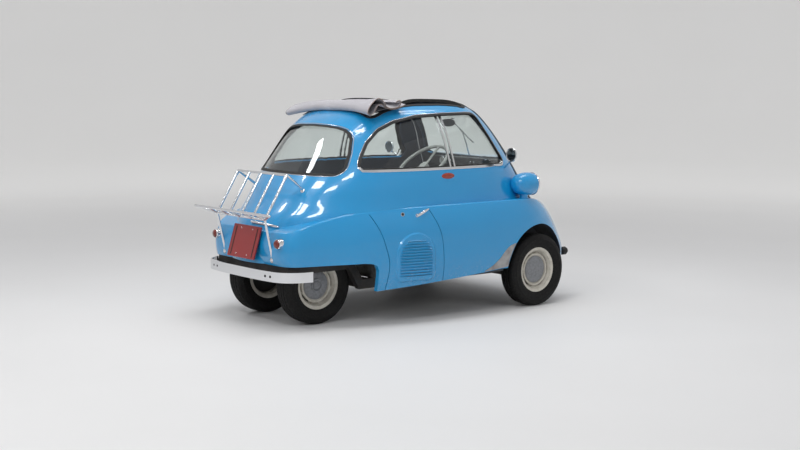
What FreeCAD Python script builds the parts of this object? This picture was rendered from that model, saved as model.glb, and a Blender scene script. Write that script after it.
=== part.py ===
import FreeCAD, Part
import math
import os

# Small four-wheeled bubble car with one door in front and a folding roof.
# Millimetres. X points forward, Y to the left, Z up, ground at Z = 0.
# The sizes below count X from the rear axle; every piece is shifted at the end
# so that the middle of the whole car stands over the origin.

V = FreeCAD.Vector
os.makedirs("parts", exist_ok=True)

# Running gear
WHEELBASE = 1500.0
FRONT_TRACK = 1200.0
REAR_TRACK = 520.0
TYRE_R = 234.6
RIM_R = 144.6
BEAD_R = 127.0
BARREL_R = 112.0
KINGPIN_Y = 505.0
KINGPIN_R = 10.0
STUB_R = 14.0
SHAFT_R = 20.0
RUN_CLEAR = 0.08
SEAT_GAP = 0.3

# Body
WALL = 28.0
DOOR_GAP = 5.0
PANEL_GAP = 4.0
MID_X = 762.5
EGG_MID = 800.0

# Height, rear end, front end, half width, roundness in front and behind
EGG = [
    (248, -300, 1832, 600, 3.4, 2.2),
    (330, -318, 1862, 625, 3.5, 2.2),
    (400, -318, 1872, 636, 3.5, 2.2),
    (460, -305, 1872, 640, 3.5, 2.2),
    (560, -275, 1852, 640, 3.3, 2.3),
    (633, -233, 1815, 625, 3.1, 2.5),
    (720, -158, 1745, 605, 3.0, 2.7),
    (800, -95, 1684, 594, 3.0, 2.9),
    (913, -10, 1598, 574, 3.0, 3.0),
    (1000, 55, 1533, 548, 3.0, 3.0),
    (1100, 130, 1456, 512, 3.0, 3.0),
    (1176, 198, 1394, 474, 3.0, 3.0),
    (1237, 285, 1336, 434, 3.0, 3.0),
    (1280, 385, 1275, 386, 3.0, 3.0),
    (1308, 490, 1205, 328, 3.0, 3.0),
    (1324, 590, 1120, 260, 3.0, 3.0),
]

# Right half of the wings' plan at their fullest height, tail to nose
WING_PLAN = [
    (-300, 0), (-300, 110), (-300, 220), (-298, 320), (-280, 388), (-228, 432),
    (-100, 478), (83, 545), (240, 592), (500, 645), (800, 680), (1150, 690),
    (1400, 684), (1550, 660), (1680, 614), (1768, 560), (1820, 500), (1822, 440),
    (1792, 375), (1755, 290), (1725, 160), (1715, 0),
]

# Height, tail shift, nose shift, width factor
WING_LEVELS = [
    (196, 60, 0, 0.960),
    (260, 35, 40, 0.985),
    (340, 18, 50, 1.000),
    (400, 5, 30, 1.002),
    (460, 0, 0, 1.000),
    (545, 20, -50, 0.996),
    (633, 70, -115, 0.975),
    (700, 120, -185, 0.942),
    (740, 160, -240, 0.905),
]

# Side view of the top crease of the wings (x, z)
CREASE = [
    (-420, 480), (-310, 545), (-200, 596), (-100, 628), (0, 652), (130, 676),
    (300, 689), (570, 699), (977, 703), (1300, 704), (1450, 700), (1560, 682),
    (1660, 640), (1740, 578), (1800, 505), (1850, 425), (1900, 320),
]

# Door seen from the front: height, half width of its edge
DOOR_EDGE = [
    (240, 150), (275, 250), (310, 335), (350, 382), (400, 408), (460, 424),
    (530, 440), (600, 454), (700, 468), (800, 464), (905, 446), (1023, 412),
    (1108, 382), (1200, 348), (1260, 318), (1340, 270),
]
DOOR_APEX = 870.0
HINGE_LOW = V(1836, 548, 420)
HINGE_TOP = V(1744, 548, 720)

# Windows
SIDE_WINDOW = [
    (1342, 912), (1272, 1027), (1212, 1140), (1180, 1222), (1150, 1246), (1080, 1250), (850, 1247),
    (640, 1237), (470, 1206), (355, 1158), (268, 1083), (205, 992), (166, 912),
]
REAR_WINDOW = [
    (-385, 887), (-412, 900), (-420, 935), (-396, 1020), (-360, 1103), (-330, 1135), (-290, 1156),
    (-234, 1168), (-148, 1176), (0, 1180), (148, 1176), (234, 1168), (290, 1156), (330, 1135),
    (360, 1103), (396, 1020), (420, 935), (412, 900), (385, 887),
]
WINDSCREEN = [
    (-372, 945), (-388, 958), (-384, 985), (-296, 1222), (-280, 1240), (0, 1247),
    (280, 1240), (296, 1222), (384, 985), (388, 958), (372, 945), (0, 936),
]
ROOF_HOLE = (345.0, 1140.0, 365.0)

# Side view of the folded roof cloth: x, z in the car's middle and x, z at the bundle's ends
BUNDLE_HALF = 430.0
BUNDLE_FOOT = 1230.0
SLUMP = 0.37
BUNDLE = [
    (345, 1250, 300, 1235), (327, 1262, 284, 1250), (318, 1281, 281, 1267), (323, 1298, 292, 1286),
    (335, 1310, 307, 1303), (352, 1317, 325, 1319), (368, 1320, 344, 1332), (384, 1322, 362, 1340),
    (400, 1322, 378, 1336), (413, 1321, 390, 1327), (425, 1319, 403, 1315), (436, 1318, 413, 1301),
    (449, 1317, 424, 1290), (464, 1317, 441, 1284), (484, 1318, 463, 1282), (508, 1321, 488, 1284),
    (530, 1325, 508, 1290), (545, 1329, 525, 1303), (556, 1331, 533, 1316), (572, 1330, 536, 1308),
    (570, 1312, 528, 1286), (484, 1288, 464, 1274), (400, 1262, 380, 1262), (362, 1250, 325, 1240),
]

# Bowed joints in front of and behind the side panels (x, z)
REAR_JOINT = [(288, 150), (299, 284), (305, 380), (287, 459), (257, 549), (206, 648), (170, 710), (135, 770)]
FRONT_JOINT = [(677, 150), (679, 269), (677, 387), (660, 528), (579, 696), (540, 770)]

# Louvred boss of the engine cover: middle, turn in plan, half width, foot, height of the arch's centre
CREASE_R = 14.0
BOSS_AT = V(482, -641, 0)
BOSS_TURN = -9.5
BOSS_HALF = 134.0
BOSS_FOOT = 262.0
BOSS_ARCH = 413.0
BOSS_RISE = 9.0
LOUVRES = 13
LOUVRE_LOW = 291.0
LOUVRE_STEP = 17.2
LOUVRE_HALF = 111.0


def box(x0, x1, y0, y1, z0, z1):
    return Part.makeBox(x1 - x0, y1 - y0, z1 - z0, V(x0, y0, z0))


def rod(a, b, r):
    return Part.makeCylinder(r, (b - a).Length, a, b - a)


def ycyl(x, z, r, y0, y1):
    return Part.makeCylinder(r, y1 - y0, V(x, y0, z), V(0, 1, 0))


def mirror(shape):
    return shape.mirror(V(0, 0, 0), V(0, 1, 0))


def pair(shape):
    return Part.makeCompound([shape, mirror(shape)])


def join(*shapes):
    return shapes[0].fuse(list(shapes[1:])).removeSplitter()


def prism(points, along, start, length):
    """Flat outline swept along Y (points are x, z) or along X (points are y, z)."""
    if along == "y":
        corners = [V(a, start, b) for a, b in points]
        sweep = V(0, length, 0)
    else:
        corners = [V(start, a, b) for a, b in points]
        sweep = V(length, 0, 0)
    return Part.Face(Part.makePolygon(corners + corners[:1])).extrude(sweep)


def rounded(points, r, along="y", at=0.0):
    """Closed flat outline with its corners rounded, as a face."""
    def place(p):
        return V(p[0], at, p[1]) if along == "y" else V(at, p[0], p[1])

    edges = []
    count = len(points)
    stops = []
    for i in range(count):
        p0, p1, p2 = points[i - 1], points[i], points[(i + 1) % count]
        d1 = (p0[0] - p1[0], p0[1] - p1[1])
        d2 = (p2[0] - p1[0], p2[1] - p1[1])
        l1, l2 = math.hypot(*d1), math.hypot(*d2)
        u1 = (d1[0] / l1, d1[1] / l1)
        u2 = (d2[0] / l2, d2[1] / l2)
        half = math.acos(max(-1.0, min(1.0, u1[0] * u2[0] + u1[1] * u2[1]))) / 2
        t = min(r / math.tan(half), 0.48 * l1, 0.48 * l2)
        bx, by = u1[0] + u2[0], u1[1] + u2[1]
        size = math.hypot(bx, by)
        reach = t / math.cos(half) - t * math.tan(half)
        start = (p1[0] + u1[0] * t, p1[1] + u1[1] * t)
        end = (p1[0] + u2[0] * t, p1[1] + u2[1] * t)
        mid = (p1[0] + bx / size * reach, p1[1] + by / size * reach)
        stops.append((place(start), place(mid), place(end)))
    for i in range(count):
        start, mid, end = stops[i]
        edges.append(Part.Arc(start, mid, end).toShape())
        edges.append(Part.LineSegment(end, stops[(i + 1) % count][0]).toShape())
    return Part.Face(Part.Wire(edges))


def swept(face, start, length, along="y"):
    step = V(0, 1, 0) if along == "y" else V(1, 0, 0)
    moved = face.copy()
    moved.translate(step * start)
    return moved.extrude(step * length)


def smooth_rings(rings):
    """Closed curves through rings of points, all with the same spacing of knots."""
    widest = max(rings, key=lambda ring: sum((b - a).Length for a, b in zip(ring, ring[1:])))
    knots = [0.0]
    for a, b in zip(widest, widest[1:] + widest[:1]):
        knots.append(knots[-1] + math.sqrt((b - a).Length))
    wires = []
    for ring in rings:
        curve = Part.BSplineCurve()
        curve.interpolate(Points=ring, PeriodicFlag=True, Parameters=knots)
        wires.append(Part.Wire(curve.toShape()))
    return wires


def egg(grow=0.0):
    """The cabin's rounded solid, everywhere larger by grow."""
    rings = []
    for z, rear, front, half, nf, nr in EGG:
        ring = []
        for i in range(28):
            t = 2 * math.pi * i / 28
            c, s = math.cos(t), math.sin(t)
            n = nf if c >= 0 else nr
            reach = (front - EGG_MID if c >= 0 else EGG_MID - rear) + grow
            k = (abs(c) ** n + abs(s) ** n) ** (-1.0 / n)
            ring.append(V(EGG_MID + reach * c * k, (half + grow) * s * k, z + egg_lift(z) * grow))
        rings.append(ring)
    return Part.makeLoft(smooth_rings(rings), True, False)


def egg_lift(z):
    return 0.0 if z < 1100 else min(1.0, (z - 1100) / 190.0)


def wings(grow=0.0):
    """The wide lower body with the wings, before its top is cut to the crease."""
    rings = []
    for z, tail, nose, factor in WING_LEVELS:
        side = []
        for i, (x, y) in enumerate(WING_PLAN):
            lean = max(0.0, min(1.0, (400 - x) / 700.0)) * tail
            lean += max(0.0, min(1.0, (x - 1250) / 550.0)) * nose
            side.append((x + lean, y * factor))
        side = inset(side, grow)
        ring = [V(x, -y, z) for x, y in side]
        ring += [V(x, y, z) for x, y in side[-2:0:-1]]
        rings.append(ring)
    return Part.makeLoft(smooth_rings(rings), True, False)


def inset(side, grow):
    """Moves a half plan outwards (or inwards) along its own normals."""
    moved = []
    last = len(side) - 1
    for i, (x, y) in enumerate(side):
        ax, ay = side[max(i - 1, 0)]
        bx, by = side[min(i + 1, last)]
        if i == 0:
            ax, ay = bx, -by
        if i == last:
            bx, by = ax, -ay
        dx, dy = bx - ax, by - ay
        size = math.hypot(dx, dy)
        moved.append((x - dy / size * grow, y + dx / size * grow))
    return moved


def smooth_edge(points, shift=0.0, drop=0.0):
    curve = Part.BSplineCurve()
    curve.interpolate([V(x + shift, -900, z - drop) for x, z in points])
    return curve.toShape()


def side_block(low, high, start, length):
    """Block between two edges seen from the side, joined end to end by straight lines."""
    ends = [Part.makeLine(low.Vertexes[k].Point, high.Vertexes[k].Point) for k in (0, -1)]
    face = Part.Face(Part.Wire(Part.__sortEdges__([low, high] + ends)))
    face.translate(V(0, start + 900, 0))
    return face.extrude(V(0, length, 0))


def crease_block(drop=0.0):
    top = smooth_edge(CREASE, 0, drop)
    foot = Part.makeLine(V(CREASE[0][0], -900, 100), V(CREASE[-1][0], -900, 100))
    return side_block(foot, top, -900, 1800)


def door_wedge(spread=0.0):
    """Wedge that opens forwards; its sides are the edges of the front door."""
    rings = []
    for z, half in DOOR_EDGE:
        x = egg_front(z, half)
        angle = math.atan2(half, x - DOOR_APEX)
        reach = 1300.0
        far = V(DOOR_APEX + reach * math.cos(angle), reach * math.sin(angle), 0)
        side = V(-math.sin(angle), math.cos(angle), 0) * spread
        left = far + side
        back = spread / math.sin(angle)
        rings.append(Part.makePolygon([
            V(DOOR_APEX - back, 0, z), V(left.x, -left.y, z), V(left.x, left.y, z), V(DOOR_APEX - back, 0, z)]))
    wedge = Part.makeLoft(rings, True, False)
    # the upper edge rises forwards, so that the door can swing out and up
    top = 1296.0 + spread
    roof = prism([(700, 900), (2300, 900), (2300, top + 825), (1200, top), (700, top - 375)], "y", -900, 1800)
    floor = prism([(700, 268 - spread), (2300, 268 - spread), (2300, 1500), (700, 1500)], "y", -900, 1800)
    return wedge.common(roof.fuse(box(700, 2300, -900, 900, 200, 901)).removeSplitter()).common(floor)


def egg_front(z, y):
    """X of the cabin's front surface at a height and distance from the middle."""
    rows = EGG
    for a, b in zip(rows, rows[1:]):
        if z <= b[0]:
            break
    k = max(0.0, min(1.0, (z - a[0]) / float(b[0] - a[0])))
    front = a[2] + (b[2] - a[2]) * k
    half = a[3] + (b[3] - a[3]) * k
    n = a[4] + (b[4] - a[4]) * k
    return EGG_MID + (front - EGG_MID) * (1.0 - min(0.9, y / half) ** n) ** (1.0 / n)


def lathe(profile, centre, axis):
    """Turns a profile of (radius, distance along the axis) pairs about the axis."""
    pts = [V(r, 0, h) for r, h in profile]
    face = Part.Face(Part.makePolygon(pts + pts[:1]))
    body = face.revolve(V(0, 0, 0), V(0, 0, 1), 360)
    turn = FreeCAD.Rotation(V(0, 0, 1), axis)
    body.Placement = FreeCAD.Placement(centre, turn)
    return body


pieces = {}

# Body skins
egg_outer = egg()
egg_inner = egg(-WALL)
wing_outer = wings().common(crease_block())
rim_edges = [e for e in wing_outer.Edges if e.BoundBox.ZMax > 600 and e.BoundBox.ZMin > 250 and e.Length > 500]
wing_outer = wing_outer.makeFillet(CREASE_R, rim_edges)
wing_inner = wings(-WALL).common(crease_block(WALL))
outer = egg_outer.fuse(wing_outer)
inner = egg_inner.fuse(wing_inner)
room = egg(-WALL - SEAT_GAP).fuse(wings(-WALL - SEAT_GAP).common(crease_block(WALL + SEAT_GAP)))
skin = outer.cut(inner)
body = [egg_outer, wing_outer]

# Underside of the body: cut-outs over the wheels and the rising sill
under = prism([(-500, 100), (240, 100), (240, 335), (228, 362), (200, 376), (150, 380), (-500, 372)],
              "y", -900, 1800)
sill = prism([(240, 100), (2100, 100), (2100, 262), (1600, 262), (1154, 277), (240, 208)], "y", -900, 1800)
arch_r = 300.0
arches = pair(ycyl(WHEELBASE, TYRE_R, arch_r, 420, 900))
skin = skin.cut([under, sill, arches])

# Openings
window_face = rounded(SIDE_WINDOW, 150)
rear_face = rounded(REAR_WINDOW, 60, "x")
screen_face = rounded(WINDSCREEN, 45, "x")
x0, x1, hy = ROOF_HOLE
roof_face = rounded([(x0, -hy), (x1, -hy), (x1, hy), (x0, hy)], 55)
roof_face.rotate(V(0, 0, 0), V(1, 0, 0), 90)


def through(face, shrink, kind):
    """Prism of a window outline, drawn in by shrink, through the body."""
    if shrink:
        face = face.makeOffset2D(-shrink)
    if kind == "side":
        return swept(face, -900, 899)
    if kind == "rear":
        return swept(face, -300, 800, "x")
    if kind == "screen":
        return swept(face, 1000, 1200, "x")
    moved = face.copy()
    moved.translate(V(0, 0, 1150))
    return moved.extrude(V(0, 0, 400))


side_hole = through(window_face, 0, "side")
rear_hole = through(rear_face, 0, "rear")
screen_hole = through(screen_face, 0, "screen")
roof_hole = through(roof_face, 0, "roof")

# Front door
pieces["front_door"] = skin.common(door_wedge(-DOOR_GAP / 2)).cut(screen_hole)
rest = skin.cut(door_wedge(DOOR_GAP / 2))

# Everything else of the skin, split where the panels meet
cabin_cut = prism([(-420, 464)] + [(x, z - CREASE_R - 2) for x, z in CREASE] + [(1990, 304), (1990, 1500), (-420, 1500)],
                  "y", -900, 1800)
shell = rest.common(cabin_cut)
for hole in (side_hole, mirror(side_hole), rear_hole, roof_hole):
    shell = shell.cut(hole)
lower = rest.cut(cabin_cut)
pieces["body_shell"] = shell

g = PANEL_GAP / 2
far = Part.makeLine(V(-600, -900, 150), V(-600, -900, 770))
near = Part.makeLine(V(2100, -900, 150), V(2100, -900, 770))
rear_cut = side_block(far, smooth_edge(REAR_JOINT, -g), -900, 1800)
cover_zone = side_block(smooth_edge(REAR_JOINT, g), smooth_edge(FRONT_JOINT, -g), -900, 900)
front_zone = side_block(smooth_edge(FRONT_JOINT, g), near, -900, 899)
pieces["rear_body"] = lower.common(rear_cut)
pieces["engine_cover"] = lower.common(cover_zone)
pieces["front_wing_right"] = lower.common(front_zone)
pieces["side_panel_left"] = mirror(pieces["engine_cover"])


def wing_inset(z):
    """How far the wing's side lies inside its widest place at a height."""
    for a, b in zip(WING_LEVELS, WING_LEVELS[1:]):
        if z <= b[0]:
            break
    factor = a[3] + (b[3] - a[3]) * (z - a[0]) / float(b[0] - a[0])
    return 640.0 * (1.0 - factor)


def arch(grow, y):
    """Outline with a half circle on top and a rounded foot, in the boss's own plane."""
    h, foot, r = BOSS_HALF + grow, BOSS_FOOT - grow, 46.0 + grow / 2
    k = r * (1 - math.sqrt(0.5))
    stops = [V(-h, y, BOSS_ARCH), V(h, y, BOSS_ARCH), V(h, y, foot + r), V(h - r, y, foot),
             V(r - h, y, foot), V(-h, y, foot + r)]
    return Part.Wire([
        Part.Arc(stops[0], V(0, y, BOSS_ARCH + h), stops[1]).toShape(), Part.makeLine(stops[1], stops[2]),
        Part.Arc(stops[2], V(h - k, y, foot + k), stops[3]).toShape(), Part.makeLine(stops[3], stops[4]),
        Part.Arc(stops[4], V(k - h, y, foot + k), stops[5]).toShape(), Part.makeLine(stops[5], stops[0])])


def on_cover(shape):
    shape = shape.copy()
    shape.rotate(V(0, 0, 0), V(0, 0, 1), BOSS_TURN)
    shape.translate(BOSS_AT)
    return shape


# The boss leans in from its foot; each louvre is a lip with a slot that rises behind it
boss = on_cover(Part.makeLoft([arch(60, 60), arch(-60, -60)], True, True))
boss = wings(BOSS_RISE).common(boss).cut(wings(-WALL / 2))
cover = pieces["engine_cover"].fuse(boss)
lips, slots = [], []
for k in range(LOUVRES):
    z = LOUVRE_LOW + k * LOUVRE_STEP
    half = min(LOUVRE_HALF, math.sqrt(max(0.0, LOUVRE_HALF ** 2 - max(0.0, z - BOSS_ARCH + 6) ** 2)))
    o = BOSS_RISE - wing_inset(z)
    lip = [V(-half, -(o - 5), z + 10), V(-half, -(o + 6), z + 1), V(-half, -(o + 5), z - 1), V(-half, -(o - 5), z - 1)]
    slot = [V(3 - half, -(o + 14), z - 4), V(3 - half, -(o + 14), z - 9), V(3 - half, -(o - 44), z + 14),
            V(3 - half, -(o - 44), z + 19)]
    lips.append(on_cover(Part.Face(Part.makePolygon(lip + lip[:1])).extrude(V(2 * half, 0, 0))))
    slots.append(on_cover(Part.Face(Part.makePolygon(slot + slot[:1])).extrude(V(2 * half - 6, 0, 0))))
pieces["engine_cover"] = cover.fuse(lips).cut(slots)
pieces["front_wing_left"] = mirror(pieces["front_wing_right"])

# Glass and the bright or rubber beads round it
BEAD = 12.0
layers = {}


def layer(tool, high, low):
    """The part of a tool between two copies of the cabin's surface."""
    for grow in (high, low):
        if grow not in layers:
            layers[grow] = egg(grow)
    return tool.common(layers[high]).cut(layers[low])


pane = through(window_face, BEAD, "side")
pieces["side_windows"] = pair(layer(pane, -9.0, -14.0))
pieces["rear_window"] = layer(through(rear_face, BEAD, "rear"), -9.0, -14.0)
pieces["windscreen"] = layer(through(screen_face, SEAT_GAP, "screen"), -9.0, -14.0)
side_ring = layer(side_hole.cut(pane), 3.0, -16.0)
bars = []
for bx in (812, 846):
    bars.append(prism([(bx - 6, 925), (bx + 6, 925), (bx - 6, 1248), (bx - 18, 1248)], "y", -700, 680))
bars = pane.common(bars[0].fuse(bars[1]))
side_bars = layer(bars, 0.0, -9.0)
pieces["window_frames"] = pair(side_ring.fuse(side_bars))
rear_ring = layer(rear_hole.cut(through(rear_face, BEAD, "rear")), 3.0, -16.0)
roof_ring = layer(roof_hole.cut(through(roof_face, 18, "roof")), 3.0, -16.0)
pieces["rubber_seals"] = Part.makeCompound([ring.cut(pieces["window_frames"]) for ring in (rear_ring, roof_ring)])

# Folded roof cloth over the back of the roof opening: a flat bundle with two waves along its front edge,
# lower in the middle, standing off the roof at its ends and slumped on the left
bundle = []
for share in (-1.0, -0.85, -0.6, -0.3, 0.0, 0.3, 0.6, 0.85, 1.0):
    k = abs(share) ** 2.2
    sunk = SLUMP * k if share > 0 else 0.0
    ring = []
    for x, z, ex, ez in BUNDLE:
        rise = z + (ez - z) * k
        ring.append(V(x + (ex - x) * k, share * BUNDLE_HALF, rise - sunk * (rise - BUNDLE_FOOT)))
    bundle.append(Part.makePolygon(ring + ring[:1]))
pieces["folded_roof"] = Part.makeLoft(bundle, True, True).cut(layers[3.0])

# Wheels
CAP_R = 88.0
FRONT_CAP = [(0, 41), (12, 40), (17, 37), (32, 37), (60, 34.5), (80, 30), (CAP_R, 25), (CAP_R + 1, 20)]
REAR_CAP = [(0, 38), (18, 37), (24, 34), (26, 31), (30, 32), (33, 38), (38, 38), (41, 32), (62, 31), (80, 28),
            (CAP_R, 23), (CAP_R + 1, 20)]
RIM_FACE = [
    (92, 20), (95, 28), (102, 30), (107, 25), (111, 17), (117, 19), (122, 31), (128, 42), (138, 46), (RIM_R, 49),
    (RIM_R, 44), (BEAD_R, 43), (BEAD_R, 22), (119, 14), (119, -14), (BEAD_R, -22), (BEAD_R, -43), (RIM_R, -44),
    (RIM_R, -49), (138, -48), (122, -44), (122, -25), (BARREL_R, -17), (BARREL_R, 8), (100, 14), (34, 14),
]
FRONT_HUB = [(34, -8), (STUB_R + RUN_CLEAR, -8), (STUB_R + RUN_CLEAR, 20), (0, 20)]
REAR_HUB = [(34, 10), (0, 10)]
TYRE = [
    (BEAD_R, 42.5), (146, 43), (150, 51), (168, 60), (190, 64), (208, 63), (222, 58), (231, 47), (TYRE_R, 30),
    (TYRE_R, -30), (231, -47), (222, -58), (208, -63), (190, -64), (168, -60), (150, -51), (146, -43),
    (BEAD_R, -42.5), (BEAD_R, -30), (140, -32), (165, -48), (190, -54), (210, -50), (222, -30), (223, 0),
    (222, 30), (210, 50), (190, 54), (165, 48), (140, 32), (BEAD_R, 30),
]


def on_wheel(profile, x, y):
    """Turned piece on a wheel centre; the profile's distances count outboard."""
    return lathe(profile, V(x, y, TYRE_R), V(0, 1 if y > 0 else -1, 0))


def rim(cap, hub, x, y):
    """Steel wheel with its cap and four long slots in the valley round it."""
    wheel = on_wheel(cap + RIM_FACE + hub, x, y)
    out = 1 if y > 0 else -1
    for k in range(4):
        slot = Part.makeCylinder(111, 60, V(0, 0, 0), V(0, 1, 0), 34).cut(
            Part.makeCylinder(104, 60, V(0, 0, 0), V(0, 1, 0), 360))
        slot.rotate(V(0, 0, 0), V(0, 1, 0), 28 + 90 * k)
        slot.translate(V(x, y + out * 30 - 30, TYRE_R))
        wheel = wheel.cut(slot)
    return wheel


fy = FRONT_TRACK / 2
ry = REAR_TRACK / 2
pieces["front_tyre_left"] = on_wheel(TYRE, WHEELBASE, fy)
pieces["front_tyre_right"] = on_wheel(TYRE, WHEELBASE, -fy)
pieces["front_rim_left"] = rim(FRONT_CAP, FRONT_HUB, WHEELBASE, fy)
pieces["front_rim_right"] = rim(FRONT_CAP, FRONT_HUB, WHEELBASE, -fy)
pieces["rear_tyres"] = Part.makeCompound([on_wheel(TYRE, 0, ry), on_wheel(TYRE, 0, -ry)])
pieces["rear_rims"] = Part.makeCompound([rim(REAR_CAP, REAR_HUB, 0, ry), rim(REAR_CAP, REAR_HUB, 0, -ry)])
pieces["rear_axle_shaft"] = join(ycyl(0, TYRE_R, SHAFT_R, -ry - 10, ry + 10), ycyl(0, TYRE_R, 34, ry - 40, ry + 10),
                                 ycyl(0, TYRE_R, 34, -ry - 10, -ry + 40))

# Steering knuckle: kingpin, two lugs, back plate and stub axle
kx, ky, kz = WHEELBASE, KINGPIN_Y, TYRE_R
lug_low = box(kx - 20, kx + 20, ky, 552, 148, 160).fuse(Part.makeCylinder(20, 12, V(kx, ky, 148)))
lug_top = box(kx - 20, kx + 20, ky, 552, 270, 282).fuse(Part.makeCylinder(20, 12, V(kx, ky, 270)))
knuckle = join(lug_low, lug_top, Part.makeCylinder(KINGPIN_R, 134, V(kx, ky, 148)),
               ycyl(kx, kz, 88, 548, 560), ycyl(kx, kz, STUB_R, 560, 618))
pieces["knuckle_left"] = knuckle
pieces["knuckle_right"] = mirror(knuckle)

# Front axle beam with kingpin eyes and spring legs
eye = Part.makeCylinder(22, 102, V(kx, ky, 164))
bore = Part.makeCylinder(KINGPIN_R + RUN_CLEAR, 140, V(kx, ky, 150))
leg = Part.makeCylinder(24, 330, V(kx, 434, 170))
half_beam = join(ycyl(kx, 195 - SEAT_GAP - 16, 16, 0, ky), eye, leg).cut(bore)
pieces["front_axle"] = join(half_beam, mirror(half_beam))

# Frame with its rear rise, cross members and bumper irons
side_member = prism([(1700, 195), (255, 195), (180, 325), (-262, 325), (-262, 370), (205, 370), (280, 255),
                     (1700, 255)], "y", 340, 40)
iron = box(-342, -262, 270, 300, 300, 332)
iron = iron.fuse(box(-262, -240, 270, 300, 300, 370)).removeSplitter()
pieces["chassis_frame"] = join(side_member, mirror(side_member), box(1100, 1150, -340, 340, 195, 255),
                               box(1650, 1700, -340, 340, 195, 255), box(290, 340, 55, 340, 195, 255),
                               box(290, 340, -340, -55, 195, 255), box(-262, -236, -340, 340, 325, 370),
                               iron, mirror(iron))

# Rear axle carrier: chain case, axle tube and leaf springs
bore = ycyl(0, TYRE_R, SHAFT_R + RUN_CLEAR, -160, 160)
case = join(prism([(-45, 195), (480, 200), (480, 262), (-45, 275)], "y", -55, 110),
            ycyl(0, TYRE_R, 32, -150, 150))
spring = prism([(-40, 262), (345, 262), (345, 290), (-40, 282)], "y", 112, 36)
carrier = join(case, spring, mirror(spring)).cut(bore)
pieces["rear_axle_carrier"] = carrier
pieces["engine_block"] = join(box(350, 610, -545, -120, 255 + SEAT_GAP, 560), box(380, 580, -330, -150, 560, 650))
pieces["silencer"] = Part.makeCylinder(55, 290, V(340 + SEAT_GAP, 140, 205), V(1, 0, 0))

# Floor, wheel tubs, bulkhead and shelf
tub = ycyl(WHEELBASE, TYRE_R, arch_r + 20, 400, 760).cut(ycyl(WHEELBASE, TYRE_R, arch_r + 12, 408, 760))
tub = tub.common(box(1000, 2000, 0, 800, 255 + SEAT_GAP, 700))
low = 255 + SEAT_GAP
floor = box(640, 1192, -700, 700, low, 266).fuse(box(1192, 1806, -400, 400, low, 266))
floor = floor.fuse(box(640, 652, -700, 700, low, 745))
floor = floor.fuse(box(-200, 652, -700, 700, 735, 745))
floor = join(floor, tub, mirror(tub)).common(room)
pieces["floor_pan"] = floor

# Seat
pieces["seat_frame"] = box(700, 1130, -470, 470, 266, 325)
cushion = box(690, 1160, -500, 500, 325, 450)
back = prism([(690, 450), (800, 450), (735, 860), (660, 860), (656, 760)], "y", -490, 980)
pieces["seat"] = join(cushion, back)

# Door fittings: dash, column, steering wheel, wiper, handle, hinge arms
COL_TOP = V(1285, 215, 842)
COL_LOW = V(1690, 215, 330)
axis = COL_TOP - COL_LOW
axis.normalize()
WHEEL_C = COL_TOP + axis * 22
tube = rod(COL_LOW, COL_TOP, 19).cut(rod(COL_TOP - axis * 170, COL_TOP + axis * 5, 10 + RUN_CLEAR))
column = join(tube, box(1680, 1860, 196, 234, 312, 348)).common(egg_inner)
pieces["steering_column"] = column
dash = box(1430, 1700, -330, 330, 876, 930).common(egg_inner).cut(rod(COL_LOW, COL_TOP + axis * 60, 19))
pieces["dash"] = dash
ring = Part.makeTorus(188, 11, WHEEL_C + axis * 26, axis)
hub = rod(COL_TOP + axis * 3, COL_TOP + axis * 44, 30)
shaft = rod(COL_TOP - axis * 160, COL_TOP + axis * 10, 10)
spokes = []
up = V(axis.z, 0, -axis.x)
for k in (0, 120, 240):
    d = FreeCAD.Rotation(axis, k).multVec(up)
    spokes.append(rod(WHEEL_C + axis * 8 + d * 20, WHEEL_C + axis * 26 + d * 186, 8))
pieces["steering_wheel"] = join(ring, hub, shaft, *spokes)

axis_h = HINGE_TOP - HINGE_LOW
span = axis_h.Length
axis_h.normalize()
arms, brackets = [], []
for k in (0.12, 0.88):
    c = HINGE_LOW + axis_h * (span * k)
    arms.append(rod(c, c + axis_h * 24, 13).fuse(rod(c + axis_h * 12, V(c.x - 130, c.y - 150, c.z + 12), 8)))
    brackets.append(rod(c - axis_h * 25, c - axis_h * 1, 13).fuse(rod(c - axis_h * 13, V(c.x - 150, c.y - 8, c.z - 14), 8)))
pieces["hinge_brackets"] = Part.makeCompound([b.cut(body) for b in brackets])
grip_foot = rod(V(1590, -398, 760), V(1648, -408, 764), 9)
grip = rod(V(1652, -462, 762), V(1652, -352, 766), 9)
pieces["door_hardware"] = Part.makeCompound([a.cut(body) for a in arms] + [join(grip_foot, grip).cut(egg_outer)])
wiper = join(rod(V(1560, 120, 912), V(1606, 120, 934), 11), rod(V(1602, 120, 930), V(1466, 44, 1108), 5),
             rod(V(1520, -10, 1030), V(1400, 70, 1180), 5), rod(V(1466, 44, 1108), V(1454, 36, 1112), 6))
pieces["wiper"] = wiper.cut(egg_outer)

# Controls that stay on the floor
FLOOR_TOP = 266.0 + SEAT_GAP
pads = []
for y in (90, 160, 300):
    pads.append(join(box(1585, 1600, y - 20, y + 20, 350, 400), rod(V(1596, y, FLOOR_TOP), V(1592, y, 360), 6)))
lever = join(rod(V(1195, 330, 262), V(1255, 330, 430), 9).common(
    box(1100, 1400, 200, 400, FLOOR_TOP, 600)), rod(V(1255, 330, 430), V(1267, 330, 464), 13))
shift = join(rod(V(1180, 560, 600), V(1180, 690, 600), 9), rod(V(1180, 560, 600), V(1180, 545, 690), 8),
             Part.makeSphere(20, V(1180, 544, 700)))
pieces["pedals_and_levers"] = Part.makeCompound(pads + [lever, shift.common(inner)])

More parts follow.
